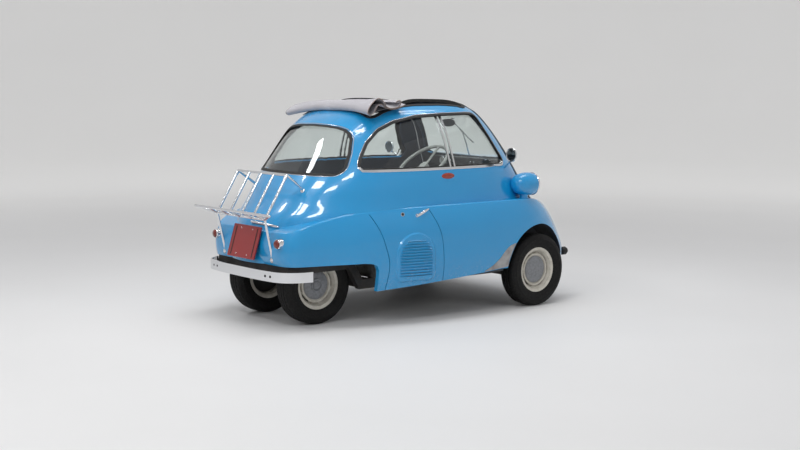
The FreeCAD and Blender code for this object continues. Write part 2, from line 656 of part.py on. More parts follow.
# Lamps
pod = lathe([(0, 0), (22, 3), (40, 12), (54, 26), (65, 46), (72, 72), (75, 100), (75, 128), (71, 158), (0, 158)],
            V(1340, 582, 789), V(1, 0, 0))
foot = Part.makeCylinder(27, 100, V(1425, 590, 650))
pod = join(pod, foot).cut(body)
pieces["headlamp_pods"] = pair(pod)
lens = lathe([(0, 0), (70, 0), (71, 5), (62, 13), (36, 19), (0, 21)], V(1498, 582, 789), V(1, 0, 0))
pieces["headlamp_lenses"] = pair(lens)
tail_lamp = lathe([(0, 0), (34, 0), (34, 30), (30, 40), (16, 46), (0, 48)], V(-280, 334, 507), V(-1, 0.12, 0))
tail_lamp = tail_lamp.cut(body)
blinker = lathe([(0, 0), (30, 0), (30, 14), (24, 22), (12, 27), (0, 28)], V(781, 572, 868), V(0, 1, 0))
stretch = FreeCAD.Matrix()
stretch.scale(V(2.1, 1, 0.9))
blinker.translate(V(-781, 0, -868))
blinker = blinker.transformGeometry(stretch)
blinker.translate(V(781, 0, 868))
blinker = blinker.cut(egg_outer)
pieces["signal_lamps"] = Part.makeCompound([tail_lamp, mirror(tail_lamp), blinker, mirror(blinker)])

# Bumper, buffers, rack, plate, mirrors, stone guards
BUMPER = [(-354, 0), (-352, 180), (-342, 300), (-322, 380), (-262, 440), (-150, 470)]
path = Part.BSplineCurve()
path.interpolate([V(x, -y, 288) for x, y in BUMPER[::-1]] + [V(x, y, 288) for x, y in BUMPER[1:]])
inside = Part.BSplineCurve()
INNER_PATH = [(x + 8, y * 0.995 - 3 if y else 0) for x, y in BUMPER]
inside.interpolate([V(x, -y, 288) for x, y in INNER_PATH[::-1]] + [V(x, y, 288) for x, y in INNER_PATH[1:]])
a, b = path.toShape(), inside.toShape()
ends = [Part.LineSegment(a.Vertexes[0].Point, b.Vertexes[0].Point).toShape(),
        Part.LineSegment(a.Vertexes[-1].Point, b.Vertexes[-1].Point).toShape()]
blade = Part.Face(Part.Wire(Part.__sortEdges__([a, b] + ends))).extrude(V(0, 0, 60))
holes = [rod(V(-400, y, 318), V(-300, y, 318), 5.25) for y in (-308, -263, 263, 308)]
pieces["rear_bumper"] = blade.cut(holes)
pieces["chassis_frame"] = pieces["chassis_frame"].cut(blade)
stub = rod(V(1800, 485, 308), V(1892, 485, 308), 13).cut(body)
rubber = lathe([(0, 0), (22, 0), (27, 6), (27, 34), (20, 46), (0, 50)], V(1892, 485, 308), V(1, 0, 0))
pieces["front_buffers"] = pair(join(stub, rubber))

T = 8.0
low_l, low_r = V(-342, 262, 645), V(-342, -262, 645)
top_l, top_r = V(-190, 262, 895), V(-190, -262, 895)
lip_l, lip_r = V(-409, 408, 681), V(-409, -408, 681)
tubes = [(low_l, top_l), (low_r, top_r), (top_l, top_r), (low_l, low_r), (lip_l, lip_r),
         (low_l, V(-409, 262, 681)), (low_r, V(-409, -262, 681)), (lip_l, low_l), (lip_r, low_r)]
for k in (-130, 0, 130):
    tubes.append((V(-342, k, 645), V(-190, k, 895)))
    tubes.append((V(-342, k, 645), V(-409, k, 681)))
stays = [(low_l, V(-286, 257, 404)), (low_r, V(-286, -257, 404)), (top_l, V(-60, 250, 800)), (top_r, V(-60, -250, 800))]
stays = [rod(p, q, T).cut(body) for p, q in stays]
rack = join(*([rod(p, q, T) for p, q in tubes] + [Part.makeSphere(T, p) for p in (low_l, low_r, top_l, top_r, lip_l, lip_r)]
              + stays))
pieces["luggage_rack"] = rack

lean = math.degrees(math.atan2(58, 189))
plate = box(-3, 3, -145, 145, -99, 99).fuse(box(3, 60, -60, 60, -40, 40)).removeSplitter()
plate.rotate(V(0, 0, 0), V(0, 1, 0), lean)
plate.translate(V(-316, 0, 492))
pieces["number_plate"] = plate.cut(body)

disc = lathe([(0, 0), (43, 0), (44, 5), (38, 15), (18, 21), (0, 23)], V(1284, 616, 982), V(1, 0, 0))
stalk = rod(V(1292, 612, 955), V(1330, 505, 890), 6)
pieces["mirrors"] = pair(join(disc, stalk).cut(egg_outer))

for name in sorted(pieces):
    s = pieces[name]
    s.translate(V(-MID_X, 0, 0))
    print(name, len(s.Solids), round(s.Volume / 1e6, 3), s.isValid())
    s.exportStep("parts/" + name + ".step")
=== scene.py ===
# %% [markdown]
# # A small bubble car with one front door
# The imported model gives the hard shapes: body, glass, wheels, rack. This notebook dresses them. It gives each
# of them a finish and adds what only a mesh can show well, such as folded cloth, stitched seats and tyre tread.
# We start by loading the imported frame.

# %% the frame
import math
import bmesh
import bpy
import numpy as np
from mathutils import Matrix, Vector, noise
from mathutils.bvhtree import BVHTree


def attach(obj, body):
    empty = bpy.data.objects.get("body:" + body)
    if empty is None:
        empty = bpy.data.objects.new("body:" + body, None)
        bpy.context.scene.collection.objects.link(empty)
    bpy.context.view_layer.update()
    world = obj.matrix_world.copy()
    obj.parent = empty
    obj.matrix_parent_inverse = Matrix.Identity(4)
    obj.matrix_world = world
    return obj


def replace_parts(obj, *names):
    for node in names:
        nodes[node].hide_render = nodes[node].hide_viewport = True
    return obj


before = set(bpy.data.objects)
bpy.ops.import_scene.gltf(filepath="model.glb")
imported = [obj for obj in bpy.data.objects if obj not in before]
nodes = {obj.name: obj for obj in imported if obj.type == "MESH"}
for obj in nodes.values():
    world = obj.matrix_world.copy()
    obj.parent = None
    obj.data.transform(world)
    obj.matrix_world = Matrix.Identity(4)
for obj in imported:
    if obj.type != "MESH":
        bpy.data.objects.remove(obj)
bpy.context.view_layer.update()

# %% [markdown]
# ## Places and helpers
# A car is drawn in millimetres from its rear axle, and Blender works in metres from the middle of the car. One
# small function turns one into the other, so that the numbers below read as a car maker would write them.

# %% places in millimetres from the rear axle
MIDDLE = 762.5
WHEELBASE, WHEEL_UP = 1500, 234.6
OUTSIDE = -900  # rays at the car's right side start here
X, Y, Z = Vector((1, 0, 0)), Vector((0, 1, 0)), Vector((0, 0, 1))
trees = {}


def place(x, y, z):
    return Vector(((x - MIDDLE) / 1000, y / 1000, z / 1000))


def touch(node, start, direction):
    """Where a straight line first meets a node, and the surface's direction there."""
    if node not in trees:
        body = bmesh.new()
        body.from_mesh(nodes[node].data)
        trees[node] = BVHTree.FromBMesh(body)
        body.free()
    spot, normal, _, _ = trees[node].ray_cast(start, direction.normalized())
    return spot, normal


print("rear axle stands at x =", round(place(0, 0, 0).x, 4))

# %% [markdown]
# ## The camera
# The photograph was taken from behind and to the right, a little above the roof. The wheels' centres and the
# length between them fix where the camera stood: this is that place, with the same lens.

# %% the camera
camera = bpy.data.objects.new("camera", bpy.data.cameras.new("camera"))
bpy.context.scene.collection.objects.link(camera)
camera.location = (-5.2225, -6.5022, 1.4571)
turn, drop, roll = (math.radians(a) for a in (50.598, 6.432, 0.272))
look = Vector((math.cos(turn) * math.cos(drop), math.sin(turn) * math.cos(drop), -math.sin(drop)))
camera.rotation_mode = "QUATERNION"
camera.rotation_quaternion = look.to_track_quat("-Z", "Y") @ Matrix.Rotation(roll, 4, "Z").to_quaternion()
camera.data.sensor_width = 36
camera.data.lens = 58.31
bpy.context.scene.camera = camera
bpy.context.scene.view_settings.view_transform = "Standard"
print("camera", round(camera.location.length, 2), "m from the middle of the car")

# %% [markdown]
# ## Writing a finish
# A finish is a net of nodes, and most of it is sums on masks. Drawn by hand that is a tangle, so a small class
# wraps a socket and lays a Math node for each plus, minus or times. The finish then reads like a formula.

# %% sockets that can be added and multiplied


def math_node(kind, swapped=False):
    """A method of Wire that lays down one Math node."""
    def lay(self, other):
        first, second = (other, self) if swapped else (self, other)
        return self.finish.node("Math", {"operation": kind}, {0: first, 1: second})
    return lay


class Wire:
    """A socket of a finish. Sums on it lay down Math nodes."""

    def __init__(self, finish, socket):
        self.finish = finish
        self.socket = socket

    __add__, __radd__ = math_node("ADD"), math_node("ADD", True)
    __sub__, __rsub__ = math_node("SUBTRACT"), math_node("SUBTRACT", True)
    __mul__, __rmul__ = math_node("MULTIPLY"), math_node("MULTIPLY", True)
    __pow__ = math_node("POWER")
    __gt__, __lt__ = math_node("GREATER_THAN"), math_node("LESS_THAN")

    def fade(self, low, high):
        """0 below low, 1 above high and smooth between."""
        return self.finish.node("MapRange", {"interpolation_type": "SMOOTHSTEP"},
                                {"Value": self, "From Min": low, "From Max": high})


class Finish:
    """One material on a slot of the record, and the nodes that vary it."""

    def __init__(self, name, slot, fixed):
        self.material = bpy.data.materials.new(name)
        self.material.use_nodes = True
        self.tree = self.material.node_tree
        self.shader = self.tree.nodes["Principled BSDF"]
        self.slot = slot
        finishes[name] = self
        for socket, value in fixed.items():
            self.feed(self.shader.inputs[socket], value)

    def feed(self, socket, value):
        if isinstance(value, Wire):
            self.tree.links.new(value.socket, socket)
        elif socket.type == "RGBA":
            socket.default_value = (*value[:3], 1)
        else:
            socket.default_value = value

    def node(self, kind, settings=None, inputs=None, out=0):
        made = self.tree.nodes.new("ShaderNode" + kind)
        for setting, value in (settings or {}).items():
            setattr(made, setting, value)
        for key, value in (inputs or {}).items():
            self.feed(made.inputs[key], value)
        return Wire(self, made.outputs[out])

    def drive(self, socket, value):
        self.feed(self.shader.inputs[socket], value)

    def spot(self):
        return self.node("TexCoord", out="Object")

    def axes(self):
        split = self.node("SeparateXYZ", None, {0: self.spot()})
        return [Wire(self, out) for out in split.socket.node.outputs]

    def cloud(self, scale, detail=3, rough=0.5, stretch=(1, 1, 1)):
        """Soft noise about 0 to 1, scale lumps to the metre."""
        at = self.spot()
        if stretch != (1, 1, 1):
            at = self.node("VectorMath", {"operation": "MULTIPLY"}, {0: at, 1: stretch})
        return self.node("TexNoise", None, {"Vector": at, "Scale": scale, "Detail": detail, "Roughness": rough})

    def cells(self, scale, kind="F1"):
        return self.node("TexVoronoi", {"feature": kind}, {"Vector": self.spot(), "Scale": scale})

    def mix(self, first, second, share):
        return self.node("Mix", {"data_type": "RGBA"}, {0: share, 6: first, 7: second}, out=2)

    def relief(self, height, depth):
        """Raises the surface by height times depth, in metres."""
        bump = self.node("Bump", None, {"Strength": 1.0, "Distance": depth, "Height": height})
        self.drive("Normal", bump)

    def look(self, colour, roughness, height, depth):
        self.drive("Base Color", colour)
        self.drive("Roughness", roughness)
        self.relief(height, depth)


finishes = {}
print("finish classes ready")

# %% [markdown]
# ## Light and floor
# Plain soft studio light: a pale world and three large lamps, which mirrors don't show. Two thin tubes and five
# small skylights overhead do show, as the bright marks on the paint. The floor bends up into a wall far behind,
# so no edge is seen.

# %% floor and backdrop


def stage_mesh(name, rows):
    mesh = bpy.data.meshes.new(name)
    count = len(rows[0])
    points = [p for row in rows for p in row]
    faces = [(r * count + c, r * count + c + 1, (r + 1) * count + c + 1, (r + 1) * count + c)
             for r in range(len(rows) - 1) for c in range(count - 1)]
    mesh.from_pydata(points, [], faces)
    mesh.shade_smooth()
    thing = bpy.data.objects.new(name, mesh)
    bpy.context.scene.collection.objects.link(thing)
    return thing


floor_finish = Finish("studio_floor", "", {"Roughness": 0.55, "Specular IOR Level": 0.3})
patches = floor_finish.cloud(0.6, 4)
floor_finish.drive("Base Color", floor_finish.mix((0.69, 0.69, 0.69), (0.75, 0.75, 0.75), patches))
floor_finish.relief(floor_finish.cloud(14, 3), 0.0004)
x, y, z = floor_finish.axes()
away = ((x * x + y * y) ** 0.5).fade(2.5, 11.0)
seen = floor_finish.node("LightPath", out="Is Camera Ray") + floor_finish.node("LightPath", out="Is Glossy Ray")
seen = seen + floor_finish.node("LightPath", out="Is Transmission Ray")
floor_finish.drive("Emission Color", floor_finish.mix((0, 0, 0), (0.30, 0.297, 0.290), away * (seen > 0.5)))
floor_finish.drive("Emission Strength", 1.0)
radii = [0.0, 2, 4, 6, 8, 10, 12, 14, 15, 16, 17, 17.8, 18.4, 18.8, 19, 19]
heights = [0.0] * 8 + [0.05, 0.25, 0.6, 1.1, 1.9, 3.0, 4.5, 14]
bowl = [[(r * math.cos(a), r * math.sin(a), h) for a in np.linspace(0, 2 * math.pi, 73)]
        for r, h in zip(radii, heights)]
studio_floor = stage_mesh("studio_floor", bowl)
studio_floor.data.materials.append(floor_finish.material)
print("floor", len(studio_floor.data.polygons), "faces")

# %% world and lamps
world = bpy.data.worlds.new("studio")
bpy.context.scene.world = world
world.use_nodes = True
world.node_tree.nodes["Background"].inputs[0].default_value = (0.98, 0.98, 1.0, 1)
world.node_tree.nodes["Background"].inputs[1].default_value = 0.50


def lamp(name, spot, aim, size, power, mirrored=True):
    data = bpy.data.lights.new(name, "AREA")
    data.shape = "RECTANGLE"
    data.size, data.size_y = size
    data.energy = power
    thing = bpy.data.objects.new(name, data)
    thing.location = spot
    thing.rotation_mode = "QUATERNION"
    thing.rotation_quaternion = (Vector(aim) - Vector(spot)).to_track_quat("-Z", "Y")
    thing.visible_glossy = mirrored
    bpy.context.scene.collection.objects.link(thing)


CEILING = 5.0
SKYLIGHT_WATTS = 60  # for each square metre
lamp("above", (0.5, -0.5, 6.0), (0, 0, 0.6), (5.0, 4.0), 66, False)
lamp("behind_camera", (-7.5, -2.5, 3.6), (0, 0, 0.5), (1.6, 3.2), 66, False)
lamp("right_hand", (2.0, -8.0, 3.2), (0.2, 0, 0.6), (4.0, 2.2), 76, False)
for count, across_car in enumerate((-0.05, -0.75)):
    lamp("tube_lamp_" + str(count), (0.6, across_car, CEILING), (0.6, across_car, 0), (5.5, 0.10), 34)
skylights = [((-4.3, 0.5), (1.5, 0.42)), ((-4.9, -2.6), (1.8, 0.40)), ((-3.1, -3.4), (1.3, 0.34)),
             ((-2.9, 3.8), (1.2, 0.40)), ((-1.5, -0.7), (1.0, 0.26))]
for count, ((along, aside), (long, wide)) in enumerate(skylights):
    lamp("skylight_" + str(count), (along, aside, CEILING), (along * 0.2, aside * 0.2, 0.6), (long, wide),
         SKYLIGHT_WATTS * long * wide)

# %% [markdown]
# ## Painted steel
# The body is painted sky blue and polished. Even good paint isn't one colour: it shifts a little over a metre,
# holds dust low down, and has a faint waviness in its gloss. The node is one solid, so the finish asks which way the
# surface faces: away from the cabin's middle is paint. The side that faces the middle is dark, as trim in the cabin
# and as painted shade inside the wings and covers.

# %% sky blue paint


def sky_blue(name, trim_and_shade_inside):
    """Body paint. If the second argument is true, the side that faces the cabin's middle is dark: trim in the cabin
    and painted shade inside the wings and covers.
    """
    paint = Finish(name, "blue_paint", {"Coat Weight": 1.0, "Coat Roughness": 0.02, "IOR": 1.45})
    z = paint.axes()[2]
    drift = paint.cloud(2.2, 4, 0.55)
    blue = paint.mix((0.002, 0.250, 0.560), (0.006, 0.300, 0.625), drift)
    low = 1 - z.fade(0.20, 0.52)
    speckle = paint.cloud(46, 5, 0.7)
    dust = low * speckle.fade(0.35, 0.75) * 0.12
    blue = paint.mix(blue, (0.23, 0.25, 0.26), dust)
    chips = paint.cells(95).fade(0.0, 0.12)
    chip_zone = paint.cloud(9, 3).fade(0.60, 0.72) * low
    blue = paint.mix(blue, (0.055, 0.050, 0.045), (1 - chips) * chip_zone)
    shine = 0.22 + 0.06 * paint.cloud(7, 4) + 0.35 * dust
    wave = paint.cloud(420, 2) * 0.02 + paint.cloud(3.5, 2) * 1.5
    if trim_and_shade_inside:
        # Faces turned toward the cabin's middle get a dark tone: the cabin's trim, and painted shade inside the wings
        # and covers.
        facing = paint.node("TexCoord", out="Normal")
        outward = paint.node("VectorMath", {"operation": "SUBTRACT"}, {0: paint.spot(), 1: place(790, 0, 620)})
        facing = paint.node("VectorMath", {"operation": "DOT_PRODUCT"}, {0: facing, 1: outward}, out="Value")
        trim_and_shade_mask = (facing < -0.02)
        trim_and_shade_tone = paint.mix((0.016, 0.022, 0.040), (0.032, 0.042, 0.066), paint.cloud(30, 4))
        blue = paint.mix(blue, trim_and_shade_tone, trim_and_shade_mask)
        shine = shine + 0.4 * trim_and_shade_mask
        wave = wave + paint.cells(700) * trim_and_shade_mask * 0.4
        paint.drive("Coat Weight", 1.0 - 0.95 * trim_and_shade_mask)
    paint.look(blue, shine, wave, 0.0006)
    return paint


body_paint = sky_blue("sky_blue_paint", True)
sky_blue("pod_blue_paint", False)
print("paint nodes:", len(body_paint.tree.nodes))

# %% [markdown]
# ## Bright metal
# Chrome and polished trim: a mirror with faint swirls, a little haze in patches, and pinhead pits that time
# leaves. The darker steel of the frame and axles is the same idea with more dirt and no shine.

# %% chrome and steel
chrome = Finish("chrome_plate", "chrome", {"Metallic": 1.0})
haze = chrome.cloud(18, 4, 0.6)
pits = 1 - chrome.cells(420).fade(0.05, 0.16)
pit_zone = chrome.cloud(25, 3).fade(0.58, 0.70)
chrome.look(chrome.mix((0.74, 0.75, 0.77), (0.30, 0.27, 0.24), pits * pit_zone * 0.7),
            0.07 + 0.16 * haze.fade(0.45, 0.8) + 0.3 * pits * pit_zone,
            chrome.cloud(60, 3) * 0.3 - pits * pit_zone, 0.0002)


def worn_metal(name, slot, clean, dirty, shine, metal=0.0):
    made = Finish(name, slot, {"Metallic": metal})
    patch = made.cloud(14, 5, 0.65)
    fine = made.cloud(160, 3)
    made.look(made.mix(clean, dirty, patch.fade(0.35, 0.72) * 0.8), shine + 0.25 * patch + 0.1 * fine, fine, 0.0004)


def two_tone(name, slot, fixed, tones, patches, gloss, grain, depth):
    """Two colours in soft patches, a gloss that follows them and a grain: cells, a cloud or the patches."""
    made = Finish(name, slot, fixed)
    patch = height = made.cloud(*patches)
    if grain:
        height = made.cells(*grain) if "SMOOTH_F1" in grain else made.cloud(*grain)
    made.look(made.mix(*tones, patch), gloss[0] + gloss[1] * patch, height, depth)


BAR_FROM, BAR_TO, BAR_TOP = 0.028, 0.108, 1.215
SILL = (0.934, 0.942)
frame_trim = Finish("frame_trim", "chrome", {})
x, _, z = frame_trim.axes()
on_bars = (x > BAR_FROM) * (x < BAR_TO) * (z < BAR_TOP)
metal = (on_bars + (1 - z.fade(*SILL))).fade(0.1, 0.9)
scuff = frame_trim.cloud(20, 3)
frame_trim.drive("Metallic", metal)
frame_trim.look(frame_trim.mix((0.012, 0.012, 0.013), (0.70, 0.71, 0.72), metal),
                0.40 - 0.28 * metal + 0.12 * scuff, scuff, 0.0002)
worn_metal("guard_steel", "bare_steel", (0.42, 0.42, 0.42), (0.22, 0.20, 0.19), 0.34, 0.55)
# Mirror glass is dark metal: a painted dark reflection in place of a bright mirror.
two_tone("mirror_glass_painted_dark", "chrome", {"Metallic": 1.0}, ((0.10, 0.12, 0.14), (0.14, 0.16, 0.18)),
         (30, 3), (0.04, 0.05), None, 0.0001)
worn_metal("frame_black", "black_steel", (0.018, 0.018, 0.019), (0.060, 0.052, 0.045), 0.42)
worn_metal("axle_grey", "cast_grey", (0.10, 0.10, 0.10), (0.045, 0.040, 0.035), 0.50, 0.4)
worn_metal("case_alloy", "cast_alloy", (0.36, 0.36, 0.35), (0.12, 0.11, 0.10), 0.38, 0.8)
worn_metal("shaft_steel", "bare_steel", (0.46, 0.45, 0.44), (0.20, 0.16, 0.13), 0.30, 0.9)
worn_metal("floor_grey", "floor_grey", (0.07, 0.075, 0.08), (0.035, 0.035, 0.036), 0.65)
print("finishes after the metals:", len(finishes))

# %% [markdown]
# ## Rubber, vinyl and cloth
# Rubber is nearly black and never quite even; dust sits in it. The roof is coated cloth: a fine basket weave
# under a matt skin, with paler creases where it has been folded for years.

# %% rubber
two_tone("black_rubber", "black_rubber", {"Specular IOR Level": 0.35},
         ((0.010, 0.010, 0.011), (0.035, 0.034, 0.033)), (35, 4, 0.6), (0.48, 0.25), (500, 2), 0.0003)
tyre_rubber = Finish("tyre_rubber", "tyre", {"Specular IOR Level": 0.3})
shade = tyre_rubber.cloud(24, 5, 0.65)
road = tyre_rubber.cloud(90, 3).fade(0.4, 0.8)
tyre_rubber.look(tyre_rubber.mix((0.0050, 0.0050, 0.0052), (0.024, 0.022, 0.020), shade * road),
                 0.66 + 0.2 * shade, tyre_rubber.cloud(650, 2) + shade * 0.5, 0.00035)

# %% roof cloth and trim
roof_grey = Finish("roof_cloth_grey", "grey_cloth", {"Sheen Weight": 0.25, "Sheen Roughness": 0.5,
                                                      "Specular IOR Level": 0.35})
warp, weft = (roof_grey.node("TexWave", {"bands_direction": way}, {"Vector": roof_grey.spot(), "Scale": 160.0})
              for way in "XY")
stain = roof_grey.cloud(7, 5, 0.6)
creased = roof_grey.cloud(26, 4, 0.6, (1, 0.25, 1)).fade(0.56, 0.70)
grey = roof_grey.mix((0.38, 0.37, 0.40), (0.47, 0.46, 0.49), stain)
grey = roof_grey.mix(grey, (0.60, 0.59, 0.62), creased * 0.45)
roof_grey.look(grey, 0.46 + 0.2 * stain, warp * weft * 0.35 + stain * 2.0 + creased, 0.0005)
two_tone("hem_braid", "grey_cloth", {"Specular IOR Level": 0.3}, ((0.20, 0.145, 0.125), (0.34, 0.28, 0.25)),
         (300, 2), (0.6, 0.2), None, 0.0004)
two_tone("seat_vinyl", "seat_cloth", {"Specular IOR Level": 0.4}, ((0.115, 0.135, 0.175), (0.165, 0.185, 0.225)),
         (9, 4), (0.44, 0.18), (420, "SMOOTH_F1"), 0.0006)
two_tone("dark_trim", "dark_trim", {"Specular IOR Level": 0.4}, ((0.030, 0.033, 0.040), (0.060, 0.064, 0.072)),
         (12, 4), (0.42, 0.2), (600, "SMOOTH_F1"), 0.0005)
two_tone("pale_plastic", "pale_plastic", {}, ((0.42, 0.43, 0.42), (0.52, 0.52, 0.50)),
         (20, 4), (0.28, 0.2), (240, 2), 0.0002)
print("finishes so far:", len(finishes))

# %% [markdown]
# ## Glass
# The panes are thin solids, so real refraction works. Glass that blocks lamps would leave the cabin black, so a
# Mix Shader lets the lamps' rays straight through, while the eye still sees reflections and a slight green.

# %% clear glass and coloured lenses


def see_through(name, slot, tint, rough, smear):
    made = Finish(name, slot, {"Base Color": tint, "Transmission Weight": 1.0, "IOR": 1.46})
    wipe = made.cloud(smear, 4, 0.6, (1, 1, 0.4))
    made.drive("Roughness", rough + 0.05 * wipe.fade(0.55, 0.8))
    clear = made.node("BsdfTransparent", None, {"Color": tint})
    lamp_ray = made.node("LightPath", out="Is Shadow Ray")
    both = made.node("MixShader", None, {0: lamp_ray, 1: Wire(made, made.shader.outputs[0]), 2: clear})
    made.feed(made.tree.nodes["Material Output"].inputs["Surface"], both)
    return made


see_through("window_glass", "window_glass", (0.90, 0.95, 0.94), 0.0, 5)
lamp_glass = see_through("lamp_glass", "lamp_glass", (0.96, 0.97, 0.96), 0.02, 30)

flutes = lamp_glass.node("TexWave", {"bands_direction": "Y"}, {"Vector": lamp_glass.spot(), "Scale": 36.0})
lamp_glass.relief(flutes, 0.003)

amber = Finish("amber_lens", "orange_lens", {"Transmission Weight": 0.35, "IOR": 1.49, "Coat Weight": 0.5})
ribs = amber.cells(300, "SMOOTH_F1")
orange = amber.mix((0.40, 0.030, 0.010), (0.52, 0.050, 0.014), amber.cloud(40, 3))
deep_red = amber.mix((0.200, 0.016, 0.010), (0.300, 0.028, 0.016), amber.cloud(40, 3))
at_tail = amber.axes()[0] < -0.6
amber.look(amber.mix(orange, deep_red, at_tail), 0.16 + 0.12 * amber.cloud(60, 3), ribs, 0.0008)

plate_red = Finish("plate_red", "plate_red", {"Coat Weight": 0.3})
fade = plate_red.cloud(9, 5, 0.6)
specks = 1 - plate_red.cells(140).fade(0.03, 0.14)
red = plate_red.mix((0.245, 0.012, 0.014), (0.300, 0.020, 0.020), fade)
plate_red.look(plate_red.mix(red, (0.10, 0.06, 0.05), specks * 0.5), 0.26 + 0.2 * fade,
               plate_red.cloud(70, 3), 0.0003)

cream = Finish("cream_paint", "cream_paint", {"Coat Weight": 0.2})
x, _, z = cream.axes()
grime = cream.cloud(30, 5, 0.65)
tone = cream.mix((0.60, 0.575, 0.51), (0.46, 0.43, 0.37), grime.fade(0.35, 0.8))
ahead = x - (-MIDDLE / 1000 + WHEELBASE / 1000 * (x > 0))
above = z - WHEEL_UP / 1000
from_hub = (ahead * ahead + above * above) ** 0.5
cap = 1 - from_hub.fade(0.0870, 0.0890)
worn = cream.cloud(55, 5, 0.7).fade(0.35, 0.75)
tone = cream.mix(tone, cream.mix((0.235, 0.245, 0.26), (0.150, 0.155, 0.165), worn), cap)
# A dark brown ring in the rim's valley, broken up by the grime noise: painted shade in the recess, with dirt.
valley_shade_and_dirt = from_hub.fade(0.103, 0.107) * (1 - from_hub.fade(0.114, 0.121))
tone = cream.mix(tone, (0.16, 0.14, 0.11), valley_shade_and_dirt * grime.fade(0.25, 0.6) * 0.8)
cream.look(tone, 0.30 + 0.25 * grime + 0.12 * cap, cream.cloud(200, 3), 0.0003)
print("finishes:", sorted(finishes))

# %% [markdown]
# ## Dressing the carried-over solids
# Each CAD node keeps its shape and only gets a finish. Where one node holds two finishes, as a lamp and its
# bright ring do, a separate thin piece is laid over it further down.

# %% finishes on the frame's nodes
worn_by = {
    "sky_blue_paint": ["body_shell", "front_wing_left", "front_wing_right", "engine_cover", "side_panel_left",
                       "rear_body", "front_door"],
    "pod_blue_paint": ["headlamp_pods"],
    "window_glass": ["side_windows", "rear_window", "windscreen"],
    "lamp_glass": ["headlamp_lenses"],
    "frame_trim": ["window_frames"],
    "chrome_plate": ["rear_bumper", "luggage_rack", "mirrors", "wiper", "door_hardware"],
    "black_rubber": ["rubber_seals", "front_buffers"],
    "roof_cloth_grey": ["folded_roof"],
    "floor_grey": ["floor_pan"],
    "frame_black": ["chassis_frame", "seat_frame", "hinge_brackets", "pedals_and_levers", "steering_column"],
    "axle_grey": ["front_axle", "knuckle_left", "knuckle_right", "silencer"],
    "case_alloy": ["engine_block", "rear_axle_carrier"],
    "shaft_steel": ["rear_axle_shaft"],
    "tyre_rubber": ["front_tyre_left", "front_tyre_right", "rear_tyres"],
    "cream_paint": ["front_rim_left", "front_rim_right", "rear_rims"],
    "seat_vinyl": ["seat"],
    "dark_trim": ["dash"],
    "pale_plastic": ["steering_wheel"],
    "amber_lens": ["signal_lamps"],
    "plate_red": ["number_plate"],
}
for finish, members in worn_by.items():
    for member in members:
        nodes[member].data.materials.clear()
        nodes[member].data.materials.append(finishes[finish].material)
left = sorted(set(nodes) - {m for members in worn_by.values() for m in members})
print("nodes with no finish:", left)

# %% [markdown]
# ## Tools for making pieces
# Three tools make nearly every piece: a skin stretched over rings of points, a tube along a path, and a strip
# that lies on a surface. Each new piece rides on a body of the model, so that it moves with a door or a wheel.

# %% skins, tubes and turned shapes


def piece(name, shape, finish, body="car_body", sharp=38):
    """A new object from a shape, which is a list of points and one of faces."""
    points, faces = shape
    mesh = bpy.data.meshes.new(name)
    mesh.from_pydata([tuple(p) for p in points], [], faces)
    shell = bmesh.new()
    shell.from_mesh(mesh)
    bmesh.ops.remove_doubles(shell, verts=shell.verts, dist=1e-6)
    bmesh.ops.recalc_face_normals(shell, faces=shell.faces)
    shell.to_mesh(mesh)
    shell.free()
    mesh.shade_smooth()
    mesh.set_sharp_from_angle(angle=math.radians(sharp))
    thing = bpy.data.objects.new(name, mesh)
    bpy.context.scene.collection.objects.link(thing)
    mesh.materials.append(finishes[finish].material)
    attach(thing, body)
    return thing


def skin(rings, endless=False):
    """Faces over rings of points that have the same number of points, with caps unless the rings join up."""
    count = len(rings[0])
    points = [p for ring in rings for p in ring]
    faces = []
    for r in range(len(rings) if endless else len(rings) - 1):
        s = (r + 1) % len(rings)
        for c in range(count):
            d = (c + 1) % count
            faces.append((r * count + c, r * count + d, s * count + d, s * count + c))
    if not endless:
        faces += [tuple(range(count)), tuple(range(len(points) - count, len(points)))]
    return points, faces


def together(*parts):
    """Several skins as one list of points and faces."""
    points, faces = [], []
    for more_points, more_faces in parts:
        start = len(points)
        points += more_points
        faces += [tuple(start + i for i in face) for face in more_faces]
    return points, faces


def across(axis):
    """Two directions at right angles to an axis."""
    axis = axis.normalized()
    side = axis.cross(Z if abs(axis.z) < 0.9 else X).normalized()
    return side, axis.cross(side)


def turned(profile, centre, axis, count):
    """A profile of (radius, height) pairs in millimetres, turned about an axis."""
    side, up = across(axis)
    axis = axis.normalized()
    rings = []
    for k in range(count):
        a = 2 * math.pi * k / count
        out = side * math.cos(a) + up * math.sin(a)
        rings.append([centre + out * (r / 1000) + axis * (h / 1000) for r, h in profile])
    return skin(rings, endless=True)


def smooth_path(points, steps=8):
    """A Catmull-Rom curve through the points."""
    points = [Vector(p) for p in points]
    last = len(points) - 1
    result = []
    for i in range(last):
        a, b, c, d = points[max(i - 1, 0)], points[i], points[i + 1], points[min(i + 2, last)]
        for k in range(steps):
            t = k / steps
            result.append(0.5 * (2 * b + (c - a) * t + (2 * a - 5 * b + 4 * c - d) * t * t
                                 + (3 * b - a - 3 * c + d) * t ** 3))
    result.append(points[-1])
    return result


def headings(path, closed=False):
    """The path's direction at each of its points."""
    last = len(path) - 1
    ahead = [path[i + 1] if i < last else path[0 if closed else last] for i in range(last + 1)]
    behind = [path[i - 1] if closed or i else path[0] for i in range(last + 1)]
    return [(a - b).normalized() for a, b in zip(ahead, behind)]


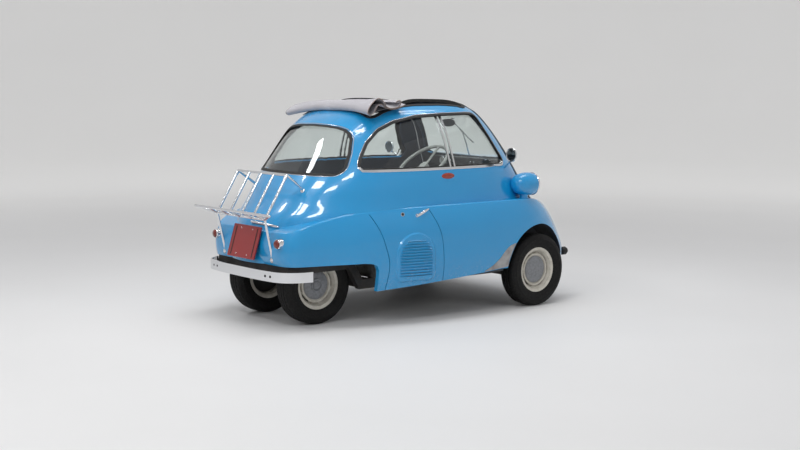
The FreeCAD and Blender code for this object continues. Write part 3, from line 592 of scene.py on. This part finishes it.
def tube(path, radius, sides=10, closed=False):
    """A round tube; radius in millimetres, one number or one for each point."""
    rings = []
    side = None
    for i, (spot, along) in enumerate(zip(path, headings(path, closed))):
        if side is None:
            side = across(along)[0]
        side = (side - along * side.dot(along)).normalized()
        up = along.cross(side)
        r = (radius[i] if isinstance(radius, list) else radius) / 1000
        rings.append([spot + side * (r * math.cos(a)) + up * (r * math.sin(a))
                      for a in (2 * math.pi * k / sides for k in range(sides))])
    return skin(rings, endless=closed)


def strip(path, normals, section, closed=False):
    """A section of (sideways, outwards) millimetres swept along a path that lies on a surface."""
    rings = []
    for spot, normal, along in zip(path, normals, headings(path, closed)):
        out = (normal - along * normal.dot(along)).normalized()
        side = along.cross(out)
        rings.append([spot + side * (a / 1000) + out * (b / 1000) for a, b in section])
    return skin(rings, endless=closed)


print("tools ready")

# %% [markdown]
# ## The folded roof
# The roof of such a car is one sheet of coated cloth, pushed back by hand. It lies behind the opening in a flat
# bundle, a little wider than the opening, with a big loose wave at its front, where the eye meets the end of
# the folds. A sheet that is folded this sharply is easier to draw than to simulate: its side view is one curve
# in the car's middle and another at the bundle's ends, and each row of points lies between the two. Its three
# layers are drawn one by one and aren't joined at the folds.

# %% folded roof cloth
TOP_SHEET = [(512, 1320, 492, 1316), (534, 1326, 510, 1326), (550, 1328, 526, 1325), (557, 1324, 533, 1313),
             (549, 1317, 525, 1298), (532, 1315, 507, 1288), (508, 1314, 486, 1283), (484, 1317, 463, 1281),
             (463, 1317, 441, 1284), (448, 1318, 423, 1291), (436, 1319, 413, 1302), (425, 1321, 403, 1315),
             (413, 1323, 391, 1327), (399, 1324, 377, 1337), (384, 1324, 362, 1341), (366, 1322, 343, 1333),
             (350, 1318, 324, 1320), (334, 1310, 306, 1304), (322, 1298, 291, 1287), (317, 1281, 280, 1267),
             (325, 1267, 283, 1250), (345, 1266, 301, 1237)]
UNDER_SHEET = [(342, 1268, 304, 1242), (362, 1272, 330, 1256), (380, 1281, 346, 1282), (395, 1292, 358, 1297),
               (410, 1302, 371, 1306), (424, 1306, 384, 1307), (437, 1308, 397, 1302), (448, 1307, 407, 1293),
               (462, 1306, 417, 1285), (482, 1306, 436, 1279), (505, 1308, 472, 1276), (532, 1311, 502, 1277),
               (558, 1316, 528, 1285), (592, 1328, 570, 1302)]
LINING = [(588, 1325, 564, 1300), (545, 1308, 525, 1284), (484, 1292, 464, 1272), (420, 1278, 400, 1258),
          (370, 1266, 346, 1246)]


ROWS = 56
SLUMP, FOOT = 0.37, 1230  # how far the left end sinks towards the height of its foot


def fold(profile, half, thick, seed, shake=1.0):
    """One folded sheet between its side view in the middle and its side view at the ends."""
    middle = smooth_path([(x, z, 0) for x, z, _, _ in profile], 5)
    ends = smooth_path([(x, z, 0) for _, _, x, z in profile], 5)
    upper, lower = [], []
    for r in range(ROWS + 1):
        share = -1 + 2 * r / ROWS
        k = abs(share) ** 2.2
        sunk = SLUMP * k if share > 0 else 0
        line = [m.lerp(e, k) for m, e in zip(middle, ends)]
        line = [Vector((q.x, q.y - sunk * (max(0, q.y - FOOT) + 30), 0)) for q in line]
        top, under = [], []
        for i, (spot, along) in enumerate(zip(line, headings(line))):
            out = Vector((-along.y, along.x, 0))
            lump = noise.noise(Vector((i / 16, share * 2.6, seed))) * 3.4
            lump += noise.noise(Vector((i / 7, share * 8, seed + 5))) * 1.0
            spot = spot + out * (lump * shake)
            y = share * (half + 6 * noise.noise(Vector((i / 14, seed, share))))
            for store, way in ((top, 0.5), (under, -0.5)):
                store.append(place(spot.x + out.x * thick * way, y, spot.y + out.y * thick * way))
        upper.append(top)
        lower.append(under)
    rings = [a + b[::-1] for a, b in zip(upper, lower)]
    return skin(rings), [[(p + q) / 2 for p, q in zip(a, b)] for a, b in zip(upper, lower)]


top_sheet, top_rows = fold(TOP_SHEET, 427, 4, 1)
under_sheet, under_rows = fold(UNDER_SHEET, 423, 4, 2)
lining_sheet, _ = fold(LINING, 340, 3, 3, shake=0.5)
folded_cloth = piece("folded_roof_cloth", together(top_sheet, under_sheet, lining_sheet),
                     "roof_cloth_grey", sharp=60)
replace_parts(folded_cloth, "folded_roof")
hems = [tube(row[::2], 2.6, 8) for row in (top_rows[0], top_rows[-1], under_rows[0], under_rows[-1])]
folded_hems = piece("folded_roof_hems", together(*hems), "hem_braid")
RAIL = [(-346, 1297), (-280, 1312), (-200, 1325), (-100, 1331), (0, 1332), (100, 1331), (200, 1325), (280, 1312),
        (346, 1297)]
RAIL_SECTION = [(-12, -6), (12, -6), (12, 3), (8, 5), (-8, 5), (-12, 3)]
rail_path = smooth_path([place(600, y, z) for y, z in RAIL])
rail = strip(rail_path, [Z] * len(rail_path), RAIL_SECTION)
piece("roof_front_rail", rail, "black_rubber")
print("roof cloth:", len(folded_cloth.data.polygons), "faces")

# %% [markdown]
# ## Tyres with tread
# The solid tyre is smooth. The real one has four ribs, parted by grooves and cut by fine slots, and rings on
# its side wall. The profile is turned in many steps, and the steps in the tread are let in by a few millimetres.

# %% tyres


WHEELS = [("tyre_front_left", "shade_disc_front_left", "front_wheel_left", "front_tyre_left", WHEELBASE, [600]),
          ("tyre_front_right", "shade_disc_front_right", "front_wheel_right", "front_tyre_right", WHEELBASE, [-600]),
          ("tyres_rear", "shade_discs_rear", "rear_wheels", "rear_tyres", 0, [-260, 260])]
WALL = [(127, -42), (134, -44), (142, -46), (146, -50), (150, -52), (158, -56.5), (160, -58.5), (163, -59),
        (172, -61.5), (184, -63.6), (196, -64), (198, -65), (200, -65), (202, -63.6), (212, -61), (220, -57.5),
        (226, -53), (230.5, -48), (232, -45)]
INSIDE = [(127, 30), (140, 33), (165, 50), (190, 54), (215, 46), (222, 20), (222, -20), (215, -46), (190, -54),
          (165, -50), (140, -33), (127, -30)]
RIBS = [(-44, -25), (-20, -2.5), (2.5, 20), (25, 44)]
TREAD_HALF, GROOVE, SHOULDER = 44, 6, 21
SLOT_DEEP, SLOT_SHALLOW = 3.2, 1.6
TURNS = 168


def tyre(name, body, node, x, sides):
    crown = []
    for low, high in RIBS:
        for w in (low, low + 0.6, (low + high) / 2, high - 0.6, high):
            edge = w in (low, high)
            r = WHEEL_UP - (abs(w) / TREAD_HALF) ** 2.4 * 2.6
            crown.append((r - (GROOVE if edge else 0), w, not edge))
    outline = [(r, h, False) for r, h in WALL] + crown + [(r, -h, False) for r, h in WALL[::-1]]
    outline += [(r, h, False) for r, h in INSIDE]
    parts = []
    for y in sides:
        rings = []
        for k in range(TURNS):
            a = 2 * math.pi * k / TURNS
            ring = []
            for r, h, tread in outline:
                cut = (SLOT_DEEP if abs(h) > SHOULDER else SLOT_SHALLOW) if tread and k % 3 == 0 else 0
                rr = (r - cut) / 1000
                ring.append(place(x, 0, WHEEL_UP) + Vector((rr * math.cos(a), y / 1000 + h / 1000, rr * math.sin(a))))
            rings.append(ring)
        parts.append(skin(rings, endless=True))
    made = piece(name, together(*parts), "tyre_rubber", body, sharp=32)
    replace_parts(made, node)
    print(name, len(made.data.polygons), "faces")


for name, _, body, node, x, sides in WHEELS:
    tyre(name, body, node, x, sides)

# %% black discs in the wheels: painted shade behind the rims
# A thin black disc inside each rim is painted shade, standing in for the dark space behind the rim.
SHADE_DISC = [(40, 1.0), (111, 1.0), (111, 3.0), (40, 3.0)]
for _, name, body, _, x, sides in WHEELS:
    shade_discs = [turned(SHADE_DISC, place(x, y, WHEEL_UP), Y if y > 0 else -Y, 48) for y in sides]
    piece(name, together(*shade_discs), "black_rubber", body)
print("wheel backs done")

# %% [markdown]
# ## The bench seat
# One cushion and one backrest in vinyl with long sewn channels. A padded shape that is drawn by hand looks like
# soap, so each pad is remeshed evenly, blown up a little as cloth, held near its first shape, and then the
# channels are pressed in along lines where the needle would run.

# %% padded seat
VOXEL, MOST_MOVE, CHANNEL_DEPTH = 0.0095, 0.012, 0.009


def pad(name, corners, thick, channels, seed):
    """A pad on four corner points (front left, front right, back right, back left), thick in millimetres."""
    a, b, c, d = corners
    out = (b - a).cross(d - a).normalized()
    columns, rows = 60, 26
    top, under = [], []
    for r in range(rows + 1):
        v = r / rows
        for side, store in ((1, top), (0, under)):
            row = []
            for q in range(columns + 1):
                u = q / columns
                spot = (a * (1 - u) + b * u) * (1 - v) + (d * (1 - u) + c * u) * v
                edge = min(1, min(u, 1 - u) * 13) ** 0.5 * min(1, min(v, 1 - v) * 8) ** 0.5
                crown = 0.72 * thick + 0.28 * thick * math.sin(math.pi * u) ** 0.4 * math.sin(math.pi * v) ** 0.5
                lift = crown * edge if side else thick * 0.25 * (1 - edge)
                row.append(spot + out * (lift / 1000))
            store.append(row)
    rings = [t + u[::-1] for t, u in zip(top, under)]
    made = piece(name, skin(rings), "seat_vinyl", sharp=70)
    start = bpy.context.scene.frame_current
    remesh = made.modifiers.new("remesh", "REMESH")
    remesh.mode = "VOXEL"
    remesh.voxel_size = VOXEL
    settle(made)
    still = [v.co.copy() for v in made.data.vertices]
    cloth = made.modifiers.new("cloth", "CLOTH")
    cloth.settings.use_pressure = True
    cloth.settings.uniform_pressure_force = 4
    cloth.settings.effector_weights.gravity = 0
    cloth.settings.quality = 4
    for frame_number in range(1, 13):
        bpy.context.scene.frame_set(frame_number)
    settle(made)
    for v, home in zip(made.data.vertices, still):
        move = v.co - home
        if move.length > MOST_MOVE:
            v.co = home + move * (MOST_MOVE / move.length)
    bpy.context.scene.frame_set(start)
    along = (b - a)
    for v in made.data.vertices:
        u = (v.co - a).dot(along) / along.length_squared
        if (v.co - a).dot(out) < thick * 0.00045 or not 0.03 < u < 0.97:
            continue
        phase = abs(((u - 0.03) / 0.94 * channels) % 1 - 0.5)
        v.co -= out * (CHANNEL_DEPTH * max(0.0, (phase - 0.34) / 0.16) ** 1.6)
        v.co += out * (0.0012 * noise.noise(v.co * 14 + Vector((seed, 0, 0))))
    made.data.shade_smooth()
    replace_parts(made, "seat")
    return made


def settle(thing):
    """Makes the modifiers' result the mesh."""
    bpy.context.view_layer.update()
    graph = bpy.context.evaluated_depsgraph_get()
    done = bpy.data.meshes.new_from_object(thing.evaluated_get(graph))
    thing.modifiers.clear()
    old = thing.data
    thing.data = done
    done.name = thing.name
    bpy.data.meshes.remove(old)


cushion = pad("seat_cushion", [place(1152, 490, 335), place(1152, -490, 335), place(700, -490, 330),
                               place(700, 490, 330)], -118, 12, 1)
backrest = pad("seat_back", [place(800, 480, 455), place(800, -480, 455), place(740, -480, 852),
                             place(740, 480, 852)], -86, 12, 4)
print("cushion and back:", len(cushion.data.polygons), len(backrest.data.polygons), "faces")

# %% [markdown]
# ## Lamps
# A headlamp is a bowl-shaped mirror behind fluted glass, held by a bright ring. The tail lamps are red glass in
# chromed cups, and the two small lamps on the cabin's sides sit on an oval rubber bed. All are turned shapes.

# %% headlamps


def both_sides(shape):
    """The shape and its mirror image on the car's other side."""
    points, faces = shape
    return together(shape, ([Vector((p.x, -p.y, p.z)) for p in points], [f[::-1] for f in faces]))


lamp_at = place(1498, -582, 789)
GLASS = [(0, 21), (18, 20.4), (34, 18.6), (48, 15.4), (60, 11.0), (68, 6.0), (68, 3.5), (60, 8.0), (48, 12.2),
         (34, 15.4), (18, 17.2), (0, 17.8)]
glass = piece("headlamp_glass", both_sides(turned(GLASS, lamp_at, X, 64)), "lamp_glass")
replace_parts(glass, "headlamp_lenses")
LAMP_RIM = [(68.5, 0.3), (71.2, 0.3), (74.0, 2.5), (74.2, 5.5), (72.4, 9.5), (69.5, 9.0), (68.2, 6.5)]
BOWL = [(0, 1.0), (16, 1.3), (34, 2.6), (50, 4.4), (62, 5.6), (68, 6.0), (68, 0.3), (0, 0.3)]
BULB_CAP = [(0, 13), (8, 12.4), (12, 10.5), (12, 8.5), (0, 8.5)]
bright = [both_sides(turned(shape, lamp_at, X, 64)) for shape in (LAMP_RIM, BOWL, BULB_CAP)]
piece("headlamp_rims", together(*bright), "chrome_plate")
print("headlamp glass:", len(glass.data.polygons), "faces")

# %% tail lamps and side lamps
TAIL_LENS = [(0, 47), (9, 46.2), (17, 43.5), (22.5, 39), (24.6, 33), (24.6, 2), (0, 2)]
CUP = [(24.8, 0), (30.5, 0), (30.8, 4), (29.0, 8), (28.6, 28), (28.0, 32.5), (26.2, 34.5), (24.8, 33.8)]
SIDE_LENS = [(0, 17.5), (11, 17), (19, 15), (24, 11.5), (25.4, 6), (25.4, -4), (0, -4)]
SIDE_BED = [(25.6, -4), (27.6, -4), (27.6, 5), (26.4, 7), (25.6, 6.6)]
side_at = place(781, -572, 868)


def oval(shape):
    """A turned shape on the cabin's side, drawn out lengthways and pressed flat."""
    points, faces = shape
    return [Vector((side_at.x + (q.x - side_at.x) * 2.16, q.y, side_at.z + (q.z - side_at.z) * 0.80))
            for q in points], faces


tail_at, tail_way = place(-280, -334, 507), Vector((-1, -0.12, 0))
lenses = together(turned(TAIL_LENS, tail_at, tail_way, 48), oval(turned(SIDE_LENS, side_at, -Y, 64)))
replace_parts(piece("signal_lenses", both_sides(lenses), "amber_lens"), "signal_lamps")
piece("lamp_cups", both_sides(turned(CUP, tail_at, tail_way, 48)), "chrome_plate")
piece("side_lamp_beds", both_sides(oval(turned(SIDE_BED, side_at, -Y, 64))), "black_rubber")
print("tail lamps and side lamps on both sides")

# %% [markdown]
# ## Rubber and bright lines round the openings
# Every pane sits in a rubber bead, and the eye reads these thin dark lines before anything else on a car. The
# holes are already in the solids, so their outlines are felt for with rays from a point inside: the distance at
# which a ray first meets the sheet is the edge. A strip is then laid along that line, moved in or out a little.

# %% feel the outline of an opening


def first_touch(names, start, direction):
    """The nearest place where a ray meets any of the named nodes."""
    found = [touch(name, start, direction) for name in names]
    found = [hit for hit in found if hit[0] is not None]
    return min(found, key=lambda hit: (hit[0] - start).length) if found else (None, None)


def facing(normal, way):
    """The normal, turned round where it points away from a direction."""
    return normal if normal.dot(way) > 0 else -normal


def opening(node, middle, look_along, u, v, reach, count=120):
    """Outline of a hole in a node, as (u, v) distances in metres from the middle."""
    outline = []
    for k in range(count):
        a = 2 * math.pi * k / count
        way = u * math.cos(a) + v * math.sin(a)
        low, high = 0.0, reach
        steps = 60
        for i in range(steps):
            r = reach * (i + 1) / steps
            if touch(node, middle + way * r, look_along)[0] is not None:
                low, high = reach * i / steps, r
                break
        for _ in range(12):
            half = (low + high) / 2
            if touch(node, middle + way * half, look_along)[0] is not None:
                high = half
            else:
                low = half
        outline.append((high * math.cos(a), high * math.sin(a)))
    return outline


def moved_in(outline, distance):
    """The outline drawn in by a distance in metres, or out where it is negative."""
    result = []
    count = len(outline)
    for i, (a, b) in enumerate(outline):
        (c, d), (e, f) = outline[i - 2], outline[(i + 2) % count]
        dx, dy = e - c, f - d
        size = math.hypot(dx, dy)
        result.append((a - dy / size * distance, b + dx / size * distance))
    return result


def laid_on(names, outline, middle, look_along, u, v):
    """The outline's points and directions where it lies on the named nodes."""
    path, normals = [], []
    for a, b in outline:
        spot, normal = first_touch(names, middle + u * a + v * b, look_along)
        if spot is not None:
            path.append(spot)
            normals.append(facing(normal, -look_along))
    return path, normals


BEAD = [(-3.2, -1.5), (3.2, -1.5), (3.4, 2.0), (1.8, 3.6), (-1.8, 3.6), (-3.4, 2.0)]
FLAT_BEAD = [(-6.5, -2.0), (6.5, -2.0), (6.5, 1.6), (4.0, 3.4), (-4.0, 3.4), (-6.5, 1.6)]
LINE = [(-2.2, -1.0), (2.2, -1.0), (2.2, 1.2), (0.9, 2.2), (-0.9, 2.2), (-2.2, 1.2)]
print("openings can be felt")

# %% beads of the panes
side_middle, side_look = place(620, OUTSIDE, 1050), Y
side_outline = opening("body_shell", side_middle, side_look, X, Z, 0.9)
inner_line = laid_on(["side_windows"], moved_in(side_outline, 0.0155), side_middle, side_look, X, Z)
beads = both_sides(strip(*inner_line, BEAD, closed=True))
piece("side_window_beads", beads, "black_rubber")
edge_line = laid_on(["body_shell", "window_frames"], moved_in(side_outline, -0.0015), side_middle, side_look, X, Z)
piece("side_window_line", both_sides(strip(*edge_line, LINE, closed=True)), "chrome_plate")

rear_middle, rear_look = place(-500, 0, 1020), X
rear_outline = opening("body_shell", rear_middle, rear_look, Y, Z, 0.6)
outer_line = laid_on(["body_shell"], moved_in(rear_outline, -0.0035), rear_middle, rear_look, Y, Z)
piece("rear_window_line", strip(*outer_line, LINE, closed=True), "chrome_plate")

front_middle, front_look = place(2300, 0, 1090), -X
front_outline = opening("front_door", front_middle, front_look, Y, Z, 0.6)
screen_line = laid_on(["front_door", "windscreen"], moved_in(front_outline, -0.004), front_middle, front_look, Y, Z)
piece("windscreen_bead", strip(*screen_line, FLAT_BEAD, closed=True), "black_rubber", "door")
print("bead points:", len(inner_line[0]), len(outer_line[0]), len(screen_line[0]))

# %% [markdown]
# ## The seal round the door
# The door is the whole front of the car. A black rubber seal follows its edge on the body, and a thin bright
# line follows it on the door. Both are found with rays aimed at the line where the door's two sides would meet.

# %% door seal
EDGE = [(282, 266, 1826), (310, 335, 1817), (350, 382, 1808), (400, 408, 1802), (460, 424, 1792), (530, 440, 1758),
        (600, 454, 1702), (700, 468, 1589), (800, 464, 1512), (905, 446, 1452), (1023, 412, 1388),
        (1108, 382, 1340), (1200, 348, 1271), (1250, 323, 1219)]
AXIS = 870  # rays at the door's edge aim at an upright line here
BODY_SIDE = ["body_shell", "front_wing_left", "front_wing_right"]


def door_edge(names, aside):
    """The door's edge on the named nodes, moved aside by millimetres: outwards onto the body where positive."""
    side = []
    for z, half, x in smooth_path(EDGE, 6):
        way = Vector((x - AXIS, -half, 0)).normalized()
        start = place(AXIS, 0, z) + way * 1.6 + Vector((way.y, -way.x, 0)) * (aside / 1000)
        spot, normal = first_touch(names, start, -way)
        if spot is not None:
            side.append((spot, facing(normal, way)))
    top = []
    rise = Vector((1, 0, 0.75)).normalized()
    for k in range(-14, 15):
        start = place(1200, k * 300 / 14, 1296) + rise * 0.7 + Vector((-0.6, 0, 0.8)) * (aside / 1000)
        spot, normal = first_touch(names, start, -rise)
        if spot is not None:
            top.append((spot, facing(normal, Z)))
    left = [(Vector((p.x, -p.y, p.z)), Vector((n.x, -n.y, n.z))) for p, n in side]
    whole = side + top + left[::-1]
    return [p for p, _ in whole], [n for _, n in whole]


SEAL = [(-9.0, -2.5), (9.0, -2.5), (9.2, 1.5), (6.0, 4.0), (-6.0, 4.0), (-9.2, 1.5)]
seal_line = door_edge(BODY_SIDE, 12.5)
piece("door_seal", strip(*seal_line, SEAL), "black_rubber")
bright_line = door_edge(["front_door"], -6.0)
piece("door_bright_line", strip(*bright_line, LINE), "chrome_plate", "door")
print("door seal:", len(seal_line[0]), "points, bright line:", len(bright_line[0]))

# %% [markdown]
# ## Guards, lock and lever
# Small stones thrown up by the front wheels would chip the paint behind them, so a bare steel sheet is fixed
# there. It is a grid of points between two edges, pressed onto the wing with rays and given a little thickness.

# %% stone guards
GUARD_TOP = [(1267, 430), (1215, 417), (1168, 384), (1125, 341), (1070, 303), (1006, 272)]
ARCH = 304
GUARD_ARCH = [(1267, 430)] + [(WHEELBASE - ARCH * math.cos(a), WHEEL_UP + ARCH * math.sin(a))
                              for a in (math.radians(d) for d in (34, 27, 20, 14, 10))]
GUARD_FOOT = [(1150, 281), (1080, 275), (1006, 270)]


def even(points, count):
    """The same line with evenly spaced points."""
    line = smooth_path([(a, b, 0) for a, b in points], 12)
    reach = [0.0]
    for a, b in zip(line, line[1:]):
        reach.append(reach[-1] + (b - a).length)
    result = []
    for k in range(count):
        want = reach[-1] * k / (count - 1)
        i = max(j for j in range(len(line) - 1) if reach[j] <= want + 1e-9)
        share = (want - reach[i]) / max(reach[i + 1] - reach[i], 1e-9)
        result.append(line[i].lerp(line[i + 1], min(share, 1)))
    return result


upper_edge, lower_edge = even(GUARD_TOP, 40), even(GUARD_ARCH + GUARD_FOOT, 40)
rings = []
for high, low in zip(upper_edge, lower_edge):
    top, under = [], []
    for k in range(9):
        spot2d = low.lerp(high, k / 8)
        spot, normal = touch("front_wing_right", place(spot2d.x, OUTSIDE, spot2d.y), Y)
        if spot is None:
            spot, normal = touch("front_wing_right", place(spot2d.x - 3, OUTSIDE, spot2d.y + 5), Y)
        out = facing(normal, -Y)
        top.append(spot + out * 0.0016)
        under.append(spot - out * 0.0010)
    rings.append(top + under[::-1])
piece("stone_guards", both_sides(skin(rings)), "guard_steel")
print("stone guards:", len(rings), "columns")

# %% lock and latch lever of the engine cover
COVER = ["engine_cover", "body_shell", "rear_body"]
lock, lock_out = first_touch(COVER, place(404, OUTSIDE, 658), Y)
lock_out = facing(lock_out, -Y)
knob = turned([(0, 1.2), (8.5, 1.2), (9.6, -1.5), (0, -1.5)], lock, lock_out, 28)
ring = turned([(9.0, 2.0), (11.4, 1.8), (12.4, -1.5), (9.0, -1.5)], lock, lock_out, 28)
foot, foot_out = first_touch(COVER, place(500, OUTSIDE, 648), Y)
tip, _ = first_touch(COVER, place(576, OUTSIDE, 683), Y)
along = (tip - foot).normalized()
up = Vector((-along.z, 0, along.x)).normalized()
LEVER = [(-0.10, 3.5, 7), (0, 7.0, 9), (0.14, 8.6, 11), (0.45, 8.0, 13), (0.8, 7.0, 14), (1.0, 5.0, 13),
         (1.05, 2.5, 12)]
blade = []
for share, half, out in LEVER:
    middle = foot.lerp(tip, share) - Y * (out / 1000)
    blade.append([middle + up * (half / 1000 * math.cos(a)) + Y * (0.0034 * math.sin(a))
                  for a in (2 * math.pi * k / 14 for k in range(14))])
SPINDLE = [(0, 12), (6.5, 12), (7.5, 3), (10.5, 1.2), (10.5, -3), (0, -3)]
spindle = turned(SPINDLE, foot, facing(foot_out, -Y), 24)
piece("cover_lock", knob, "black_rubber")
piece("cover_lock_ring_and_lever", together(ring, skin(blade), spindle), "chrome_plate")
print("lock at", [round(v, 3) for v in lock])

# %% [markdown]
# ## The tail: plate, bumper and rack fittings
# The blank plate has a rim and two dark bars, a bright lamp lies above it, and dark bolts hold the bumper. The
# rack's feet stand on small round washers, and clamps hold its outer rods.

# %% number plate
LEAN = math.atan2(58, 189)


def on_plate(y, z, out):
    """A place on the leaning plate, z up the plate and out from its middle sheet."""
    return place(-316 + z * math.sin(LEAN) - out * math.cos(LEAN), y, 492 + z * math.cos(LEAN) + out * math.sin(LEAN))


rim_path = []
for a, b, start in ((137, 91, 0), (-137, 91, 90), (-137, -91, 180), (137, -91, 270)):
    for k in range(5):
        turn = math.radians(start + 22.5 * k)
        rim_path.append(on_plate(a + 6 * math.cos(turn), b + 6 * math.sin(turn), 3.0))
piece("plate_rim", tube(rim_path, 2.0, 8, closed=True), "plate_red")
bars = []
for y in (-113, 113):
    bars.append(skin([[on_plate(y + a, z, b) for a, b in ((-4, 2.8), (4, 2.8), (3.4, 4.6), (-3.4, 4.6))]
                      for z in (-88, 0, 88)]))
piece("plate_bars", together(*bars), "black_rubber")
face_out = (on_plate(0, 0, 1) - on_plate(0, 0, 0)).normalized()
SCREW = [(0, 2.2), (2.6, 2.0), (4.2, 0.8), (4.4, -0.5), (0, -0.5)]
screws = [turned(SCREW, on_plate(y, z, 3), face_out, 16) for y in (-60, 60) for z in (-78, 78)]
spindle = smooth_path([place(-262, 6, 608), place(-260, -20, 606), place(-252, -80, 602), place(-244, -140, 598),
                       place(-236, -190, 595), place(-230, -222, 593), place(-228, -234, 592)], 4)
girth = [max(1.2, 9.5 * math.sin(math.pi * min(1, 0.12 + 0.88 * (k / (len(spindle) - 1))) ** 0.9) ** 0.5)
         for k in range(len(spindle))]
piece("plate_lamp_and_screws", together(tube(spindle, girth, 14), *screws), "chrome_plate")
print("plate leans by", round(math.degrees(LEAN), 1), "degrees")

# %% bumper bolts and rack feet
BOLT = [(0, 2.0), (3.5, 2.4), (6.0, 2.0), (7.6, 0.6), (7.6, -3), (0, -3)]
bolts = []
for y in (-308, -263, 263, 308):
    spot, _ = touch("rear_bumper", place(-500, y + 7.5, 318), X)
    bolts.append(turned(BOLT, Vector((spot.x, y / 1000, 0.318)), -X, 18))
piece("bumper_bolts", together(*bolts), "black_rubber")
WASHER = [(0, 6), (5, 6), (8.2, 5), (13, 2.6), (15, 0.8), (15, -2), (0, -2)]
feet = []
for y in (-257, 257):
    spot, normal = first_touch(["rear_body", "body_shell"], place(-600, y, 404), X)
    feet.append(turned(WASHER, spot, facing(normal, -X), 28))
for y in (-250, 250):
    spot, normal = first_touch(["body_shell", "rear_body"], place(-330, y, 800), X)
    feet.append(turned(WASHER, spot, facing(normal, -X), 28))
CLAMP = [(8.2, -11), (11.2, -9), (11.6, 0), (11.2, 9), (8.2, 11)]
for a, b in (((-342, -262, 645), (-190, -262, 895)), ((-342, 262, 645), (-190, 262, 895))):
    start, end = place(*a), place(*b)
    for share in (0.06, 0.94):
        feet.append(turned(CLAMP, start.lerp(end, share), end - start, 20))
piece("rack_feet_and_clamps", together(*feet), "chrome_plate")
print("bolts and feet:", len(bolts), len(feet))

# %% [markdown]
# ## Mirrors, dash and floor
# The mirrors' glass is a thin disc in a bright hoop, coloured near black as a painted dark reflection. The dash has
# one dial and four knobs, the floor a ribbed mat, and a small mirror hangs inside the screen.

# %% mirror glass
mirror_at = place(1284, -616, 982)
DISC = [(0, 1.6), (37, 1.6), (39, 0.8), (39, -0.5), (0, -0.5)]
# The glass is coloured near black: a painted dark reflection.
piece("mirror_glass_painted_dark", both_sides(turned(DISC, mirror_at, -X, 48)), "mirror_glass_painted_dark")
HOOP = [(39.5, -0.5), (44.5, -0.5), (45.5, 2), (44, 4), (40.5, 3.6), (39.2, 1.6)]
piece("mirror_hoops", both_sides(turned(HOOP, mirror_at, -X, 48)), "chrome_plate")
print("mirrors done")

# %% dial, knobs and floor mat
dash_at, _ = touch("dash", place(1000, 215, 903), X)
DIAL_RING = [(21.5, -1), (25.5, -1), (25.8, 3), (24.2, 5.5), (22.2, 5), (21.5, 3)]
DIAL_FACE = [(0, 2.0), (21.6, 2.0), (21.6, -1), (0, -1)]
NEEDLE = [(0, 4.0), (2.4, 3.8), (3.0, 2.0), (0, 2.0)]
KNOB = [(0, 15), (6, 14.4), (7.4, 12), (7.0, 7), (3.2, 6), (3.2, -1), (0, -1)]
dial_parts = [turned(DIAL_RING, dash_at, -X, 40)]
for aside in (118, 84, -84, -118):
    dial_parts.append(turned(KNOB, Vector((dash_at.x, aside / 1000, dash_at.z)), -X, 20))
piece("dial_ring_and_knobs", together(*dial_parts), "chrome_plate", "door")
piece("dial_face", turned(DIAL_FACE, dash_at, -X, 40), "pale_plastic", "door")
HAND = [(-0.0010, 0), (0.0010, 0), (0.009, 0.0155), (0.008, 0.016)]
hand = skin([[dash_at + Vector((-0.0030 - d, a, b)) for a, b in HAND] for d in (0, 0.0008)])
piece("dial_hand", together(hand, turned(NEEDLE, dash_at, -X, 16)), "black_rubber", "door")
floor_at, _ = touch("floor_pan", place(1180, 0, 400), -Z)
ribs = []
for k in range(-38, 39):
    ribs += [(k * 10 - 5, 1.6), (k * 10 - 3.5, 3.6), (k * 10 + 1.5, 3.6), (k * 10 + 3, 1.6)]
edge = [(388, 1.6), (388, -0.5), (-388, -0.5), (-388, 1.6)]
mat = [[Vector((place(x, 0, 0).x, y / 1000, floor_at.z + z / 1000)) for y, z in ribs + edge]
       for x in (1150, 1400, 1640)]
piece("floor_mat", skin(mat), "black_rubber")
print("floor at", round(floor_at.z, 4), "dash at", round(dash_at.x, 3))

# %% inside mirror
stalk_foot, _ = touch("windscreen", place(1000, 0, 1205), X)
glass_at = stalk_foot + Vector((-0.055, 0, -0.030))
shell = []
for t in (2 * math.pi * k / 32 for k in range(32)):
    corner = abs(math.cos(2 * t))
    shell.append((68 * math.cos(t) * min(1, 1.25 - 0.25 * corner), 27 * math.sin(t) * min(1, 1.3 - 0.3 * corner)))
plate = [[glass_at + Vector((a / 1000, b * w / 1000, c * w / 1000)) for b, c in shell]
         for a, w in ((-5, 0.90), (-4, 1.0), (3, 1.0), (7, 0.85))]
stalk = tube(smooth_path([stalk_foot + Vector((-0.001, 0, 0)), stalk_foot + Vector((-0.03, 0, -0.006)), glass_at]),
             4.0, 10)
piece("inside_mirror", together(skin(plate), stalk), "dark_trim", "door")
print("inside mirror at", [round(v, 3) for v in glass_at])
